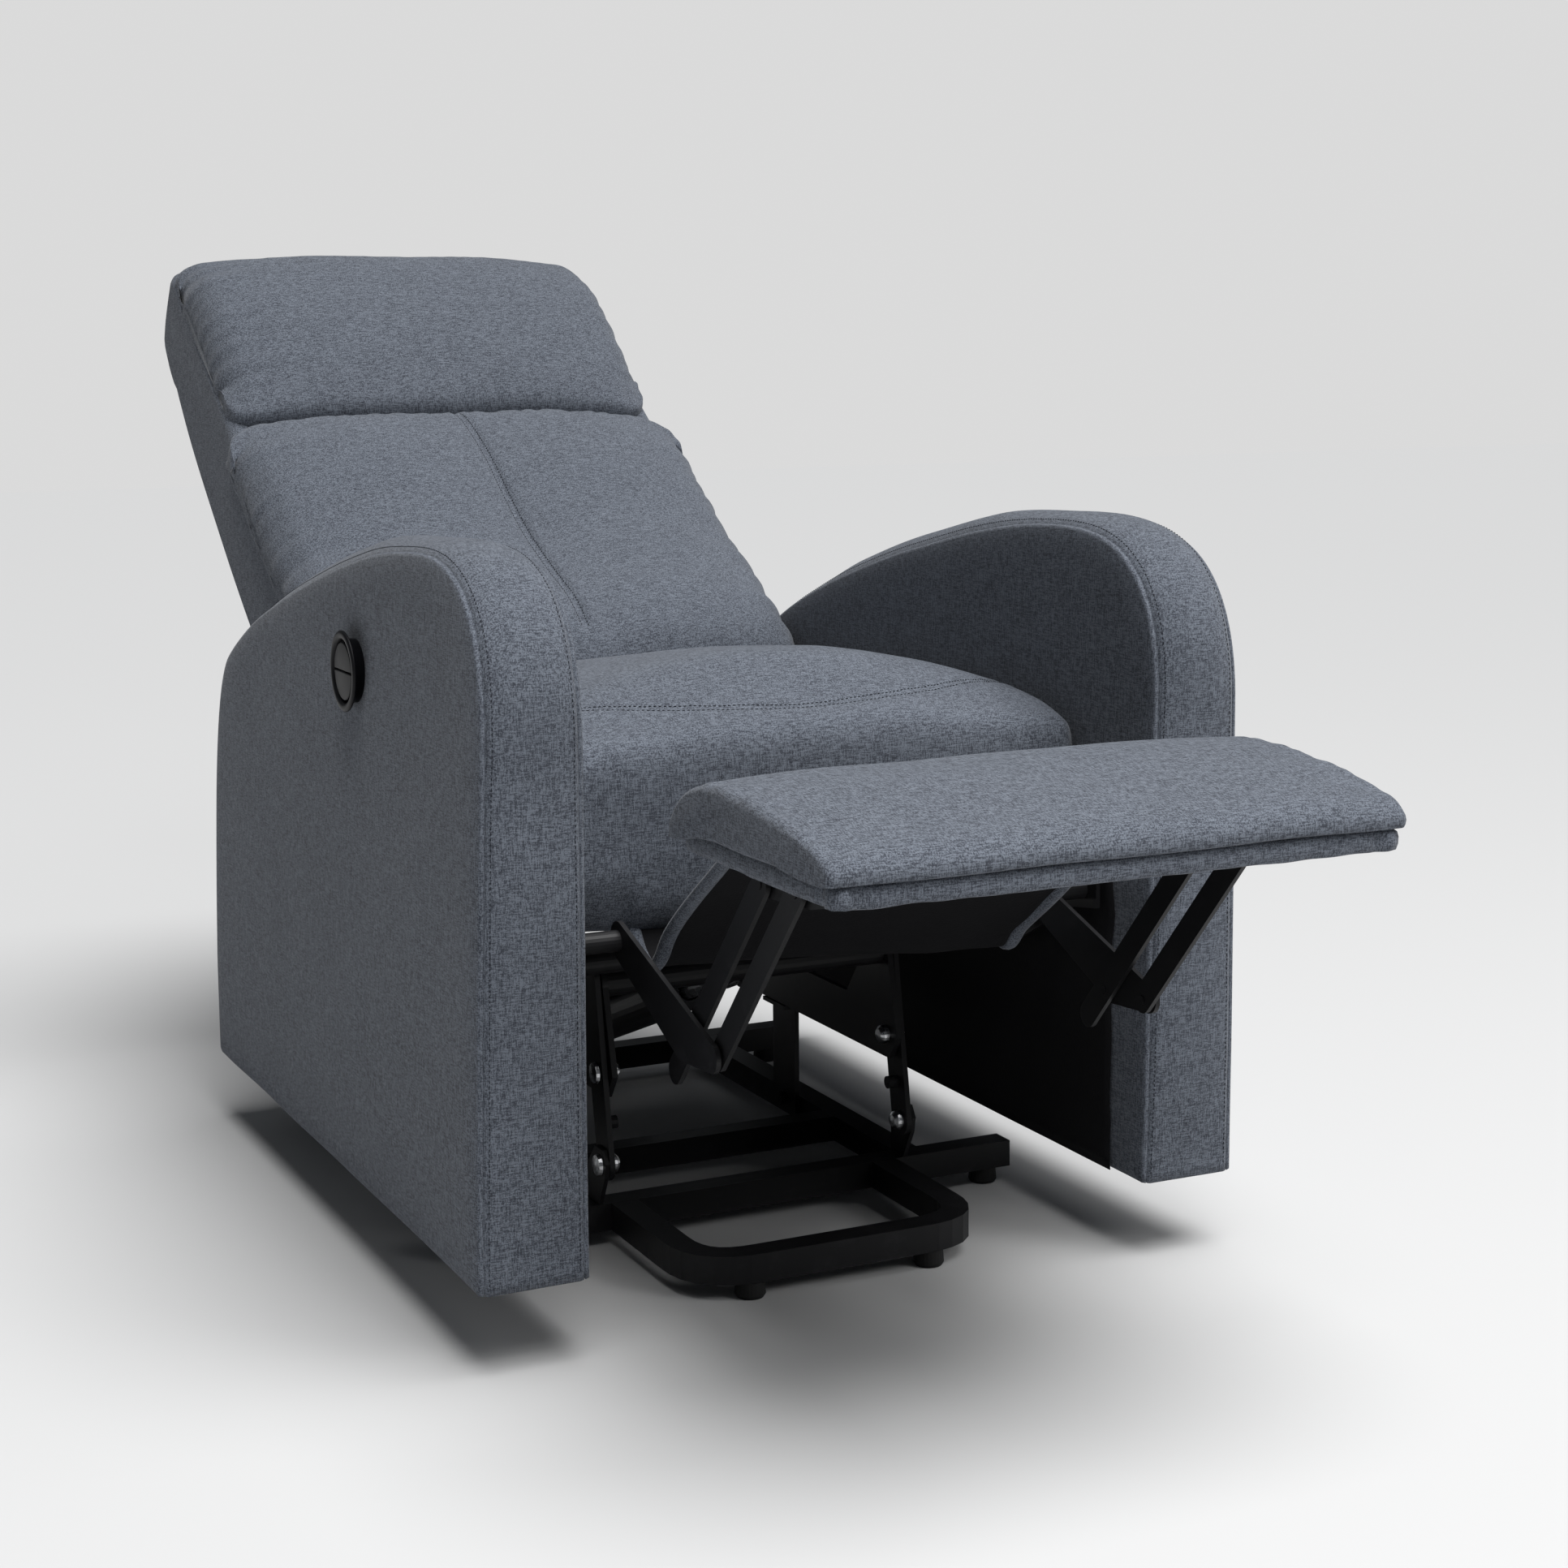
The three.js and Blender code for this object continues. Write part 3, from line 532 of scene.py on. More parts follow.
class RECLINER_OT_stage(bpy.types.Operator):
    """Pale floor, soft studio lights and the camera"""

    bl_idname = "recliner.stage"
    bl_label = "Studio"

    def execute(self, context):
        scene = context.scene
        self.floor(scene)
        self.world(scene)
        self.lamps()
        self.camera(scene)
        scene.view_settings.view_transform = "Standard"
        return {"FINISHED"}

    @staticmethod
    def floor(scene):
        mesh = bmesh.new()
        bmesh.ops.create_grid(mesh, x_segments=2, y_segments=2, size=FLOOR_HALF)
        tint = scene.recliner_colours.floor
        f = Finish("studio floor", tint)
        shade = f.noise(0.6, 1.0, 0.5) * 0.02
        tone = f.blend(shade, rgba(tint), rgba([c * 0.97 for c in tint]))
        data = bpy.data.meshes.new("studio_floor")
        mesh.to_mesh(data)
        mesh.free()
        data.materials.append(f.surface(Base_Color=tone, Roughness=0.9))
        floor = bpy.data.objects.new("studio_floor", data)
        scene.collection.objects.link(floor)

    @staticmethod
    def world(scene):
        """A dim sky that lights the chair, and a brighter one that only the camera sees."""
        world = bpy.data.worlds.new("studio")
        world.use_nodes = True
        nodes, links = world.node_tree.nodes, world.node_tree.links
        seen = nodes.new("ShaderNodeLightPath")
        white = nodes.new("ShaderNodeBackground")
        white.inputs["Strength"].default_value = WORLD_SEEN
        mix = nodes.new("ShaderNodeMixShader")
        nodes["Background"].inputs["Color"].default_value = WORLD_TINT
        nodes["Background"].inputs["Strength"].default_value = WORLD_STRENGTH
        links.new(seen.outputs["Is Camera Ray"], mix.inputs[0])
        links.new(nodes["Background"].outputs[0], mix.inputs[1])
        links.new(white.outputs[0], mix.inputs[2])
        links.new(mix.outputs[0], nodes["World Output"].inputs["Surface"])
        scene.world = world

    @staticmethod
    def lamps():
        for name, place, target, size, power in LAMPS:
            light = bpy.data.lights.new(name, "AREA")
            light.shape = "DISK"
            light.size = size
            light.energy = power
            lamp = bpy.data.objects.new(name, light)
            lamp.location = place
            aimed(lamp, Vector(target) - Vector(place))
        light = bpy.data.lights.new("overhead", "SUN")
        light.energy = OVERHEAD_STRENGTH
        light.angle = OVERHEAD_SPREAD
        aimed(bpy.data.objects.new("overhead", light), Vector(OVERHEAD_AIM))

    @staticmethod
    def camera(scene):
        data = bpy.data.cameras.new("camera")
        data.lens = CAMERA_LENS
        data.sensor_width = CAMERA_SENSOR
        camera = bpy.data.objects.new("camera", data)
        scene.collection.objects.link(camera)
        yaw, pitch, roll = CAMERA_YAW, CAMERA_PITCH, CAMERA_ROLL
        forward = Vector((math.sin(yaw) * math.cos(pitch), math.cos(yaw) * math.cos(pitch), -math.sin(pitch)))
        level = Vector((math.cos(yaw), -math.sin(yaw), 0))
        upright = level.cross(forward)
        right = level * math.cos(roll) + upright * math.sin(roll)
        up = upright * math.cos(roll) - level * math.sin(roll)
        turn = Matrix((right, up, -forward)).transposed().to_4x4()
        camera.matrix_world = Matrix.Translation(at(*CAMERA_PLACE)) @ turn
        scene.camera = camera


# ---------------------------------------------------------------- finishes


class RECLINER_OT_finishes(bpy.types.Operator):
    """Makes every finish and gives the frame's parts theirs"""

    bl_idname = "recliner.finishes"
    bl_label = "Finishes"

    def execute(self, context):
        c = context.scene.recliner_colours
        FINISHES.update(
            upholstery=linen("linen upholstery", c.fabric_light, c.fabric_dark, 0.35),
            # The stitching finish carries painted seam shade as well as the thread's own dark colour
            thread=moulded("seam thread", c.thread, 0.8, 0.1),
            dust_cloth=dust_cloth("dust cloth", c.dust_cloth),
            black_steel=powder_coat("black powder coat", c.steel),
            zinc=zinc_plate("zinc plate", c.zinc),
            foot_rubber=moulded("foot rubber", c.rubber, 0.7, 0.3),
            plywood=plywood("plywood", c.wood),
            switch_plastic=moulded("switch plastic", c.plastic, 0.4, 0.02),
            motor_plastic=moulded("motor plastic", c.motor, 0.45, 0.3),
        )
        slots = {s["node"]: s["material_slot"] for s in frame["record"]["subparts"]}
        for name, node in frame["nodes"].items():
            node.data.materials.clear()
            node.data.materials.append(FINISHES[slots[name]])
        return {"FINISHED"}


# ---------------------------------------------------------------- arms

ARM_INNER, ARM_WIDTH, ARM_BOTTOM = 256, 94, 67
ARM_TOP_SPAN = 567  # from an arm's underside to its highest point
ARM_CORE = ((190, 200), (640, 420))
ARM_SIDE = ((62, 1.0), (44, 1.0), (30, 0.96), (20, 0.86), (13, 0.7), (8, 0.45), (4.5, 0.2), (2.2, 0.0))
ARM_TOP_ROWS = 22


def arm_outline(count=300):
    """An arm's outline in y and z: level below, upright at both ends and curved over its top."""
    run = path_of(
        (0, ARM_BOTTOM),
        [(808, ARM_BOTTOM)],
        [(812, 167)],
        [(804, 380), (792, 452), (750, 486)],
        [(690, 524), (560, 562), (440, 590)],
        [(340, 612), (240, 634), (140, 634)],
        [(40, 634), (-6, 590), (-8, 500)],
        [(0, ARM_BOTTOM)],
    )
    return resample(run[:-1], count, closed=True)


def arm_x(offset, z):
    """The distance from the middle of the chair at an offset across an arm: its outer face leans in."""
    splay = 4 - 15 * (max(0.0, z - ARM_BOTTOM) / ARM_TOP_SPAN) ** 1.4
    return ARM_INNER + offset + splay * offset / ARM_WIDTH


class RECLINER_OT_arms(bpy.types.Operator):
    """Upholstered arms: two side panels and a crowned top panel between stitched seams"""

    bl_idname = "recliner.arms"
    bl_label = "Arms"

    def execute(self, context):
        sizes = context.scene.recliner_sizes
        puff = sizes.arm_puff * 1000
        crown = sizes.arm_crown * 1000
        seam_in = 4.0 + puff
        outline = arm_outline()
        normals = [outward(outline, i) for i in range(len(outline))]
        across = self.across(puff, seam_in)
        for label, sign in SIDES:
            rings = []
            for offset, inset, rise in across:
                ring = []
                for p, normal in zip(outline, normals):
                    top = ease((p.y - 420) / 160)
                    slope = ease((p.x - 180) / 120) * (1 - ease((p.x - 560) / 120)) * top
                    lift = crown * rise * (0.35 + 0.65 * top + 0.7 * slope) * ease((p.y - 70) / 120)
                    q = p + normal * lift + towards_core(p, ARM_CORE) * inset
                    place = at(sign * arm_x(offset, p.y), q.x, q.y)
                    ripple = soft_noise(place, 0.11, 3.0 * sign) * 0.0011 * (1 if inset < 5 else 0.4)
                    ring.append(place + Vector((0, *normal)) * ripple)
                rings.append(ring)
            arm = piece_from(skin(rings), "arm_" + label, "carriage", FINISHES["upholstery"])
            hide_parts("armrest_" + label)
            tree = surface(arm)
            rows = []
            for offset in (seam_in + 3.4, ARM_WIDTH - seam_in - 3.4):
                run = []
                for p, normal in zip(outline, normals):
                    if p.y > ARM_BOTTOM + 2:
                        run.append(at(sign * arm_x(offset, p.y), *(p + normal * 6)))
                start = max(range(len(run)), key=lambda k: (run[k] - run[k - 1]).length)
                run = run[start:] + run[:start]
                rows.append(laid_on(tree, run))
            stitches("arm_stitches_" + label, rows, "carriage", sizes.stitch_pitch)
        return {"FINISHED"}

    @staticmethod
    def across(puff, seam_in):
        """The rows across an arm, each with its offset, how far it draws in and how far it is crowned."""
        rows = [(puff - puff * rise, inset, 0.0) for inset, rise in ARM_SIDE]
        rows += [(seam_in - 0.6, 0.9, 0.0), (seam_in, 2.4, 0.0), (seam_in + 0.8, 0.7, 0.0)]
        outer = [(ARM_WIDTH - x, inset, rise) for x, inset, rise in reversed(rows)]
        span = ARM_WIDTH - 2 * seam_in
        for k in range(1, ARM_TOP_ROWS):
            t = k / ARM_TOP_ROWS
            rows.append((seam_in + span * t, 0.0, 1 - abs(2 * t - 1) ** 2.6))
        return rows + outer


LINER_X, LINER_THICK = 253.8, 0.0008
LINER_LOW, LINER_HIGH, LINER_FRONT, LINER_REAR = 69, 345, 46, 786
LINER_ROWS, LINER_COLUMNS = 24, 60


class RECLINER_OT_liners(bpy.types.Operator):
    """Black dust cloth on the inner faces of the arms, below the seat"""

    bl_idname = "recliner.liners"
    bl_label = "Arm liners"

    def execute(self, context):
        for label, sign in SIDES:
            rings = []
            for j in range(LINER_ROWS + 1):
                z = LINER_LOW + (LINER_HIGH - LINER_LOW) * j / LINER_ROWS
                front = LINER_FRONT + 5 * noise.noise(Vector((0, z / 40, 7.0 * sign)))
                ring = []
                for i in range(LINER_COLUMNS + 1):
                    y = front + (LINER_REAR - front) * i / LINER_COLUMNS
                    wave = 0.48 * noise.noise(Vector((y / 60, z / 45, 3.0 * sign)))
                    ring.append(at(sign * (LINER_X + wave), y, z))
                rings.append(ring)
            mesh = skin(rings, wrap=False, cap=False)
            bmesh.ops.solidify(mesh, geom=list(mesh.faces), thickness=LINER_THICK)
            piece_from(mesh, "arm_liner_" + label, "carriage", FINISHES["dust_cloth"])
        return {"FINISHED"}


# ---------------------------------------------------------------- seat and footrest cloth

SEAT_HALF = 249
SEAT_CORE = ((150, 415), (560, 432))


def seat_section(x):
    """The seat's section at x: under the cushion, up its rear, over the crowned top and down its front panel."""
    side = min(1.0, abs(x) / SEAT_HALF) ** 2.0
    bulge = 5 * (1 - side)
    centre = [(92, 446), (95, 468), (106, 484), (139, 497), (180, 517), (225, 529)]
    centre += [(310, 523), (410, 508), (510, 493)]
    edge = [(97, 440), (101, 458), (110, 466), (139, 475), (180, 480), (225, 483)]
    edge += [(310, 484), (410, 482), (510, 479)]
    front = [Vector(a).lerp(Vector(b), side) for a, b in zip(centre, edge)]
    knots = [(143, 354), (156, 376), (330, 379), (590, 379), (609, 392), (611, 430)]
    knots += [(608, 458), (596, 473), (570, 480)]
    knots += [tuple(p) for p in reversed(front)]
    tuck = 5 * ease((abs(x) - 168) / 14)
    knots += [(97 - bulge, 418), (98 - bulge, 392), (100 - bulge, 366), (104 - bulge + tuck, 342 - bulge)]
    knots += [(112 + tuck, 325 - 2 * bulge), (128 + tuck, 320 - 2 * bulge), (139 + tuck, 334 - bulge)]
    return resample(smooth_path(knots, 10, closed=True), 230, closed=True)


END_ROWS = 9


def pillow_rings(section, half, edge, rows, core, place):
    """Rings across x whose sections close in towards their core over the last stretch, as a sewn end does."""
    stations = [-half + edge * (1 - math.cos(math.pi / 2 * k / END_ROWS)) for k in range(END_ROWS)]
    inner = half - edge
    stations += [-inner + 2 * inner * k / rows for k in range(rows + 1)]
    stations += [-s for s in reversed(stations[:END_ROWS])]
    rings = []
    for x in stations:
        over = max(0.0, (abs(x) - inner) / edge)
        shrink = edge * (1 - math.sqrt(max(0.0, 1 - over * over)))
        ring = []
        for p in section(x):
            q = p + towards_core(p, core) * shrink
            ring.append(place(x, q.x, q.y))
        rings.append(ring)
    return rings


CLOTH_HALF, CLOTH_THICK = 174, 0.0016
CLOTH_ROWS = 56
HEM_RADIUS, HEM_INSET = 0.0066, 0.005


class RECLINER_OT_seat(bpy.types.Operator):
    """Seat cushion with its cross seam, the front panel under it and the footrest's cloth web"""

    bl_idname = "recliner.seat"
    bl_label = "Seat"

    def execute(self, context):
        sizes = context.scene.recliner_sizes
        mesh = skin(pillow_rings(seat_section, SEAT_HALF, 16, 90, SEAT_CORE, at))
        self.soften(mesh)
        seam = [at(x, self.seam_y(x), 505) for x in range(-250, 251, 10)]
        tree = BVHTree.FromBMesh(mesh)
        down = Vector((0, 0, -1))
        path = [p for p, _ in laid_on(tree, seam, down, 0)]
        crease(mesh, path, sizes.seam_width, sizes.seam_depth * 0.8, 0.0003)
        seat = piece_from(mesh, "seat", "carriage", FINISHES["upholstery"])
        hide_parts("seat_cushion", "seat_apron")
        tree = surface(seat)
        rows = []
        for step in (-3.5, 3.5):
            run = [p + Vector((0, step / 1000, 0)) for p in seam]
            rows.append(laid_on(tree, run, down))
        stitches("seat_stitches", rows, "carriage", sizes.stitch_pitch)
        self.web()
        return {"FINISHED"}

    @staticmethod
    def seam_y(x):
        return 129 + 84 * (abs(x) / 245) ** 2.2

    @staticmethod
    def soften(mesh):
        """Makes the top of the cushion slightly uneven."""
        for v in mesh.verts:
            if v.co.z > ORIGIN.z + 0.40:
                v.co.z += soft_noise(v.co, 0.09, 5.0) * 0.0018 + soft_noise(v.co, 0.035, 9.0) * 0.0005

    @staticmethod
    def web():
        """The cloth that hangs between the footrest and the seat's front, with a turned hem at each side."""
        knots = [(-128, 424), (-88, 420), (-30, 386), (20, 352), (52, 325), (70, 301)]
        knots += [(88, 290), (108, 300), (120, 322)]
        run = resample(smooth_path(knots, 10), 60)

        def place_at(s, k):
            p = run[k]
            hang = math.sin(math.pi * k / (len(run) - 1))
            slack = 34 * ease((s + 0.7) / 1.7) * hang * (1 - ease((p.x - 70) / 50))
            return at((CLOTH_HALF - 6 * hang) * s, p.x, p.y - slack - 5 * hang * (1 - s * s))

        rings = []
        for i in range(CLOTH_ROWS + 1):
            ring = []
            for k in range(len(run)):
                place = place_at(-1 + 2 * i / CLOTH_ROWS, k)
                place.z += soft_noise(place, 0.05, 4.0) * 0.002
                ring.append(place)
            rings.append(ring)
        mesh = skin(rings, wrap=False, cap=False)
        bmesh.ops.solidify(mesh, geom=list(mesh.faces), thickness=CLOTH_THICK)
        cloth = piece_from(mesh, "footrest_cloth", "carriage", FINISHES["dust_cloth"])
        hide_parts("footrest_web")
        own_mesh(cloth)
        for label, sign in SIDES:
            edge = [place_at(sign, k) + Vector((-sign * HEM_INSET, 0, 0)) for k in range(len(run))]
            name = "footrest_cloth_hem_" + label
            hem = piece_from(tube_along(edge, HEM_RADIUS), name, "carriage", FINISHES["upholstery"])
            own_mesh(hem)


def tube_along(points, radius, sides=12, flatten=0.7):
    """A closed, flattened tube along 3-D points that run mostly across x, without twist."""
    rings = []
    side = Vector((1, 0, 0))
    for i, p in enumerate(points):
        run = (points[min(i + 1, len(points) - 1)] - points[max(i - 1, 0)]).normalized()
        side = (side - run * side.dot(run)).normalized()
        other = run.cross(side)
        ring = []
        for k in range(sides):
            turn = 2 * math.pi * k / sides
            ring.append(p + side * (radius * math.cos(turn)) + other * (radius * flatten * math.sin(turn)))
        rings.append(ring)
    return skin(rings)


# ---------------------------------------------------------------- back

LUMBAR_HALF, LUMBAR_CORE = 249, ((40, -20), (380, 0))
HEAD_HALF, HEAD_CORE = 247, ((490, -20), (670, 0))
SHELL_HALF, SHELL_CORE = 248, ((130, -110), (630, -90))
CUSHION_EDGE, SHELL_EDGE = 30, 14


def rounded_sides(n, side, depth):
    """Draws a cushion's face back by a depth towards its side seams, where side runs from 0 to 1."""
    return n - depth * side * min(1.0, n / 30)


def lumbar_section(x):
    """The lumbar cushion's section at x, fullest at its lower roll and on each side of its middle seam."""
    side = min(1.0, abs(x) / LUMBAR_HALF) ** 3
    swell = 15 * math.sin(math.pi * min(1.0, abs(x) / 235)) ** 0.8
    knots = [(414, -52), (200, -52), (40, -52), (-24, -40), (-46, 0), (-43, 32), (-26, 58), (8, 74), (62, 74)]
    knots += [(124, 58), (190, 45), (250, 42), (310, 42), (360, 38), (400, 30), (424, 16), (429, -6), (428, -36)]
    shaped = []
    for a, n in knots:
        if n > 0:
            weight = math.sin(math.pi * min(1.0, max(0.0, (a + 30) / 460))) ** 0.7
            n = swell * weight + rounded_sides(n, side, 26)
        shaped.append((a, n))
    return resample(smooth_path(shaped, 10, closed=True), 190, closed=True)[::-1]


def head_section(x):
    """The headrest's section at x."""
    side = min(1.0, abs(x) / HEAD_HALF) ** 4
    knots = [(434, -40), (433, -8), (437, 12), (452, 25), (490, 38), (540, 48), (592, 52), (640, 49), (680, 37)]
    knots += [(704, 17), (713, -10), (713, -40), (704, -52), (600, -52), (500, -52)]
    shaped = [(a, rounded_sides(n, side, 22) if n > 0 else n) for a, n in knots]
    return resample(smooth_path(shaped, 10, closed=True), 160, closed=True)


def shell_section(x):
    """The rear cover's section at x: its sides reach forward beside the cushions as one boxed flank."""
    front = -46 + 40 * ease((abs(x) - 190) / 38)
    knots = [(58, front), (200, front), (400, front), (600, front), (700, front), (711, front - 12), (711, -84)]
    knots += [(688, -106), (560, -139), (400, -151), (250, -156), (110, -156), (74, -148), (60, -120)]
    return resample(smooth_path(knots, 8, closed=True), 170, closed=True)


class RECLINER_OT_back(bpy.types.Operator):
    """Lumbar cushion, headrest and rear shell"""

    bl_idname = "recliner.back"
    bl_label = "Back"

    def execute(self, context):
        sizes = context.scene.recliner_sizes
        fabric = FINISHES["upholstery"]
        out = (on_back(0, 0, 1) - on_back(0, 0, 0)).normalized()

        mesh = skin(pillow_rings(lumbar_section, LUMBAR_HALF, CUSHION_EDGE, 96, LUMBAR_CORE, on_back))
        self.gather(mesh, sizes.pucker, 0, 425)
        centre = [on_back(0, a, 50) for a in range(20, 428, 8)]
        tree = BVHTree.FromBMesh(mesh)
        path = [p for p, _ in laid_on(tree, centre, -out, 0)]
        crease(mesh, path, 0.0045, 0.0036, 0.0006)
        lumbar = piece_from(mesh, "lumbar", "back", fabric)
        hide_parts("lumbar_cushion")
        tree = surface(lumbar)
        rows = [laid_on(tree, [p + Vector((step, 0, 0)) for p in centre], -out) for step in (-0.004, 0.004)]
        stitches("lumbar_stitches", rows, "back", sizes.stitch_pitch)

        mesh = skin(pillow_rings(head_section, HEAD_HALF, CUSHION_EDGE, 92, HEAD_CORE, on_back))
        self.gather(mesh, sizes.pucker, 440, 720)
        head = piece_from(mesh, "headrest", "back", fabric)
        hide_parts("headrest_cushion")

        mesh = skin(pillow_rings(shell_section, SHELL_HALF, SHELL_EDGE, 80, SHELL_CORE, on_cover))
        shell = piece_from(mesh, "back_cover", "back", fabric)
        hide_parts("back_shell")
        return {"FINISHED"}

    @staticmethod
    def gather(mesh, depth, low, high):
        """Small folds that run in from the side seams and from the ends, and fade towards the middle."""
        cos, sin = math.cos(BACK_ANGLE), math.sin(BACK_ANGLE)
        y, z = BACK_PIVOT
        mesh.normal_update()
        for v in mesh.verts:
            local = v.co - ORIGIN
            along = 1000 * ((local.y - y) * cos + (local.z - z) * sin)
            across = local.x * 1000
            beside = ease((abs(across) - 165) / 75)
            ends = max(bump_at(along, low + 12, 34), bump_at(along, high, 22))
            folds = noise.noise(Vector((along / 15, math.copysign(2.0, across), 0.3))) * beside
            folds += noise.noise(Vector((across / 13, low, 1.3))) * ends * 0.9
            broad = soft_noise(v.co, 0.10, 1.0) * 0.6
            v.co += v.normal * depth * (folds + broad)


# ---------------------------------------------------------------- footrest

PAD_HALF, PAD_EDGE = 235, 7
PAD_CORE = ((-290, 452), (-190, 456))
BORDER_FRONT, BORDER_REAR, BORDER_HALF, BORDER_CORNER = -365, -123, 226, 9
# height and outward growth of each row of the border, from below
BORDER_ROWS = ((432, -4), (430.5, -1), (431.5, 1.5), (436, 3.0), (441, 3.2), (445, 2.0), (447.5, 0), (448, -4))
UNDERSIDE_MIDDLE, UNDERSIDE_ROWS = -243.5, (430.9, 429.9)


def pad_section(x):
    """The footrest cushion's section at x."""
    drop = 3 * min(1.0, abs(x) / 233) ** 6
    top = [(-369, 463), (-354, 472), (-312, 481), (-262, 488), (-214, 492), (-170, 491), (-138, 482), (-121, 465)]
    low = [(-118, 452), (-128, 447), (-245, 447), (-358, 447), (-372, 452)]
    knots = [(y, z - (drop if z > 460 else 0)) for y, z in top] + low
    return resample(smooth_path(knots, 10, closed=True), 150, closed=True)


def border_outline():
    """The board's outline: a rectangle with small round corners, from its rear right corner on."""
    x, y0, y1 = BORDER_HALF - BORDER_CORNER, BORDER_FRONT + BORDER_CORNER, BORDER_REAR - BORDER_CORNER
    outline = []
    for cx, cy, start in ((x, y1, 0), (-x, y1, 90), (-x, y0, 180), (x, y0, 270)):
        for angle in (math.radians(start + 15 * k) for k in range(7)):
            outline.append(Vector((cx + BORDER_CORNER * math.cos(angle), cy + BORDER_CORNER * math.sin(angle))))
    return resample(outline, 220, closed=True)


class RECLINER_OT_footrest(bpy.types.Operator):
    """Footrest cushion over its border band"""

    bl_idname = "recliner.footrest"
    bl_label = "Footrest"

    def execute(self, context):
        fabric = FINISHES["upholstery"]
        mesh = skin(pillow_rings(pad_section, PAD_HALF, PAD_EDGE, 90, PAD_CORE, at))
        for v in mesh.verts:
            local = (v.co - ORIGIN) * 1000
            ear = bump_at(abs(local.x), 233, 20) * bump_at(local.y, -128, 26)
            v.co.x += math.copysign(0.004 * ear, local.x)
            v.co.z += soft_noise(v.co, 0.08, 6.0) * 0.0016 - 0.006 * ear
            ends = bump_at(abs(local.x), 226, 16) * (1 if local.z > 455 else 0)
            v.co.z += noise.noise(Vector((local.y / 13, math.copysign(3.0, local.x), 0.7))) * 0.0016 * ends
        pad = piece_from(mesh, "footrest_cushion", "footrest", fabric)
        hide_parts("footrest_pad")

        outline = border_outline()
        corners = [Vector((x, BORDER_FRONT)) for x in (-BORDER_HALF, BORDER_HALF)]
        rings = []
        for z, grow in BORDER_ROWS:
            ring = []
            for i, p in enumerate(outline):
                gap = min((p - corner).length for corner in corners)
                fold = 4.5 * bump_at(gap, 3, 7) - 4.5 * bump_at(gap, 16, 3.2)
                q = p + outward(outline, i) * (grow + fold * (1 if grow > 1.2 else 0.5))
                ring.append(at(q.x, q.y, z + 1.2 * noise.noise(Vector((q.x / 30, q.y / 30, 2)))))
            rings.append(ring)
        border = piece_from(skin(rings), "footrest_border", "footrest", fabric)
        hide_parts("footrest_board")
        inner = [(p.x * 0.975, UNDERSIDE_MIDDLE + (p.y - UNDERSIDE_MIDDLE) * 0.95) for p in outline]
        mesh = skin([[at(x, y, z) for x, y in inner] for z in UNDERSIDE_ROWS])
        piece_from(mesh, "footrest_underside", "footrest", FINISHES["dust_cloth"])
        return {"FINISHED"}


# ---------------------------------------------------------------- switch

FACE_DEPTH = 0.003  # from the ring's outermost face to the face of the arm
# depth and radius along the ring's section, from the back of its body to the bottom of its well
RING_PROFILE = (
    (0.010, 0.0), (0.010, 0.0272), (-0.0002, 0.0279), (-0.0004, 0.0346), (-0.0014, 0.0349), (-0.0026, 0.0338),
    (-0.0030, 0.0322), (-0.0030, 0.0296), (-0.0022, 0.0281), (-0.0004, 0.0272), (0.0076, 0.0264), (0.0082, 0.0),
)
BUTTON_RADIUS, BUTTON_SPLIT, BUTTON_STEPS = 0.0249, 0.0005, 40
BUTTON_BASE, BUTTON_THICK, BUTTON_BEVEL = 0.004, 0.0058, 0.0012


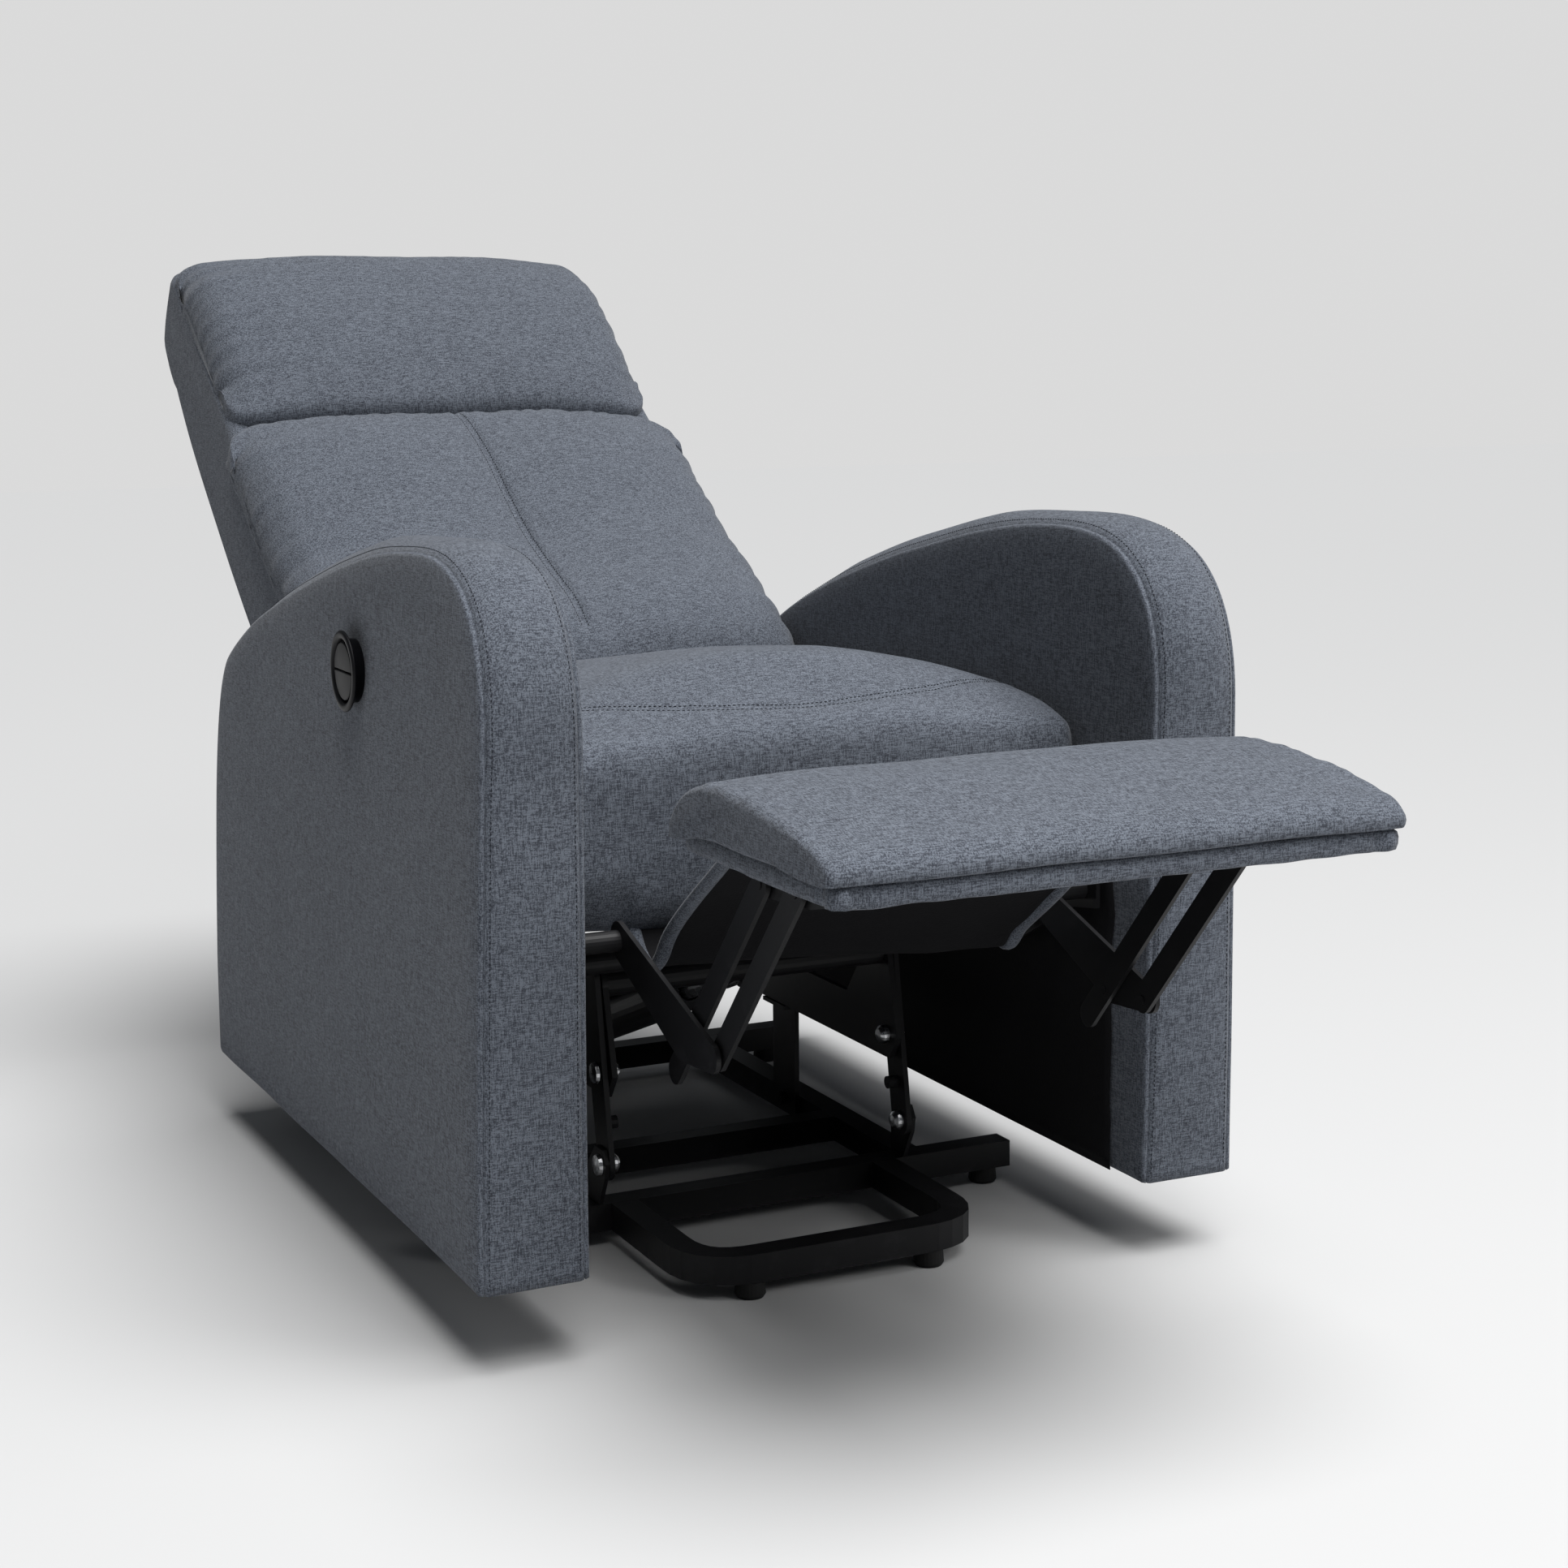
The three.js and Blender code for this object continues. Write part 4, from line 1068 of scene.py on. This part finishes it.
class RECLINER_OT_switch(bpy.types.Operator):
    """Round switch with its glossy ring and two half-round buttons"""

    bl_idname = "recliner.switch"
    bl_label = "Switch"

    def execute(self, context):
        lo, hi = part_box("switch_bezel")
        centre = Vector((0, (lo.y + hi.y) / 2, (lo.z + hi.z) / 2))
        face = lo.x + FACE_DEPTH
        mesh = bmesh.new()
        verts = [mesh.verts.new((face + x, centre.y, centre.z + r)) for x, r in RING_PROFILE]
        edges = [mesh.edges.new(pair) for pair in zip(verts, verts[1:])]
        spun = {"geom": verts + edges, "cent": (0, centre.y, centre.z), "axis": (1, 0, 0)}
        bmesh.ops.spin(mesh, **spun, angle=2 * math.pi, steps=72, use_merge=True)
        bmesh.ops.remove_doubles(mesh, verts=mesh.verts, dist=1e-6)
        ring = piece_from(mesh, "switch_ring", "carriage", FINISHES["switch_plastic"])
        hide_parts("switch_bezel")
        for name, body, up in (("recline_button", "recline_switch", 1), ("lift_button", "lift_switch", -1)):
            mesh = self.half_button(face, centre, up)
            piece = piece_from(mesh, name + "_cap", body, FINISHES["switch_plastic"])
            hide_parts(name)
        return {"FINISHED"}

    @staticmethod
    def half_button(face, centre, up):
        """Half a disc, above the split where up is 1 and below it where up is -1, with a rounded front edge."""
        mesh = bmesh.new()
        rim = []
        for k in range(BUTTON_STEPS + 1):
            angle = math.pi * k / BUTTON_STEPS
            y = centre.y + BUTTON_RADIUS * math.cos(angle)
            z = centre.z + up * max(BUTTON_SPLIT, BUTTON_RADIUS * math.sin(angle))
            rim.append(mesh.verts.new((face + BUTTON_BASE, y, z)))
        made = bmesh.ops.extrude_face_region(mesh, geom=[mesh.faces.new(rim)])
        front = [g for g in made["geom"] if isinstance(g, bmesh.types.BMVert)]
        bmesh.ops.translate(mesh, verts=front, vec=(-BUTTON_THICK, 0, 0))
        bmesh.ops.recalc_face_normals(mesh, faces=mesh.faces)
        cap = min(mesh.faces, key=lambda f: f.calc_center_median().x)
        bmesh.ops.bevel(
            mesh, geom=list(cap.edges), offset=BUTTON_BEVEL, segments=4, profile=0.5, affect="EDGES"
        )
        return mesh


# ---------------------------------------------------------------- add-on

OPERATORS = (
    RECLINER_OT_stage,
    RECLINER_OT_finishes,
    RECLINER_OT_arms,
    RECLINER_OT_liners,
    RECLINER_OT_seat,
    RECLINER_OT_back,
    RECLINER_OT_footrest,
    RECLINER_OT_switch,
)


class RECLINER_PT_panel(bpy.types.Panel):
    """Lists the chair's sizes, colours and pieces"""

    bl_idname = "RECLINER_PT_panel"
    bl_label = "Recliner Armchair"
    bl_space_type = "VIEW_3D"
    bl_region_type = "UI"
    bl_category = "Recliner"

    def draw(self, context):
        layout = self.layout
        for group in (context.scene.recliner_sizes, context.scene.recliner_colours):
            box = layout.box()
            for key in group.__annotations__:
                box.prop(group, key)
        for operator in OPERATORS:
            layout.operator(operator.bl_idname)


CLASSES = (ReclinerSizes, ReclinerColours, *OPERATORS, RECLINER_PT_panel)


def register():
    for cls in CLASSES:
        bpy.utils.register_class(cls)
    bpy.types.Scene.recliner_sizes = bpy.props.PointerProperty(type=ReclinerSizes)
    bpy.types.Scene.recliner_colours = bpy.props.PointerProperty(type=ReclinerColours)


def unregister():
    del bpy.types.Scene.recliner_sizes
    del bpy.types.Scene.recliner_colours
    for cls in reversed(CLASSES):
        bpy.utils.unregister_class(cls)


def main():
    register()
    for operator in OPERATORS:
        group, name = operator.bl_idname.split(".")
        getattr(getattr(bpy.ops, group), name)()


if __name__ == "__main__":
    main()
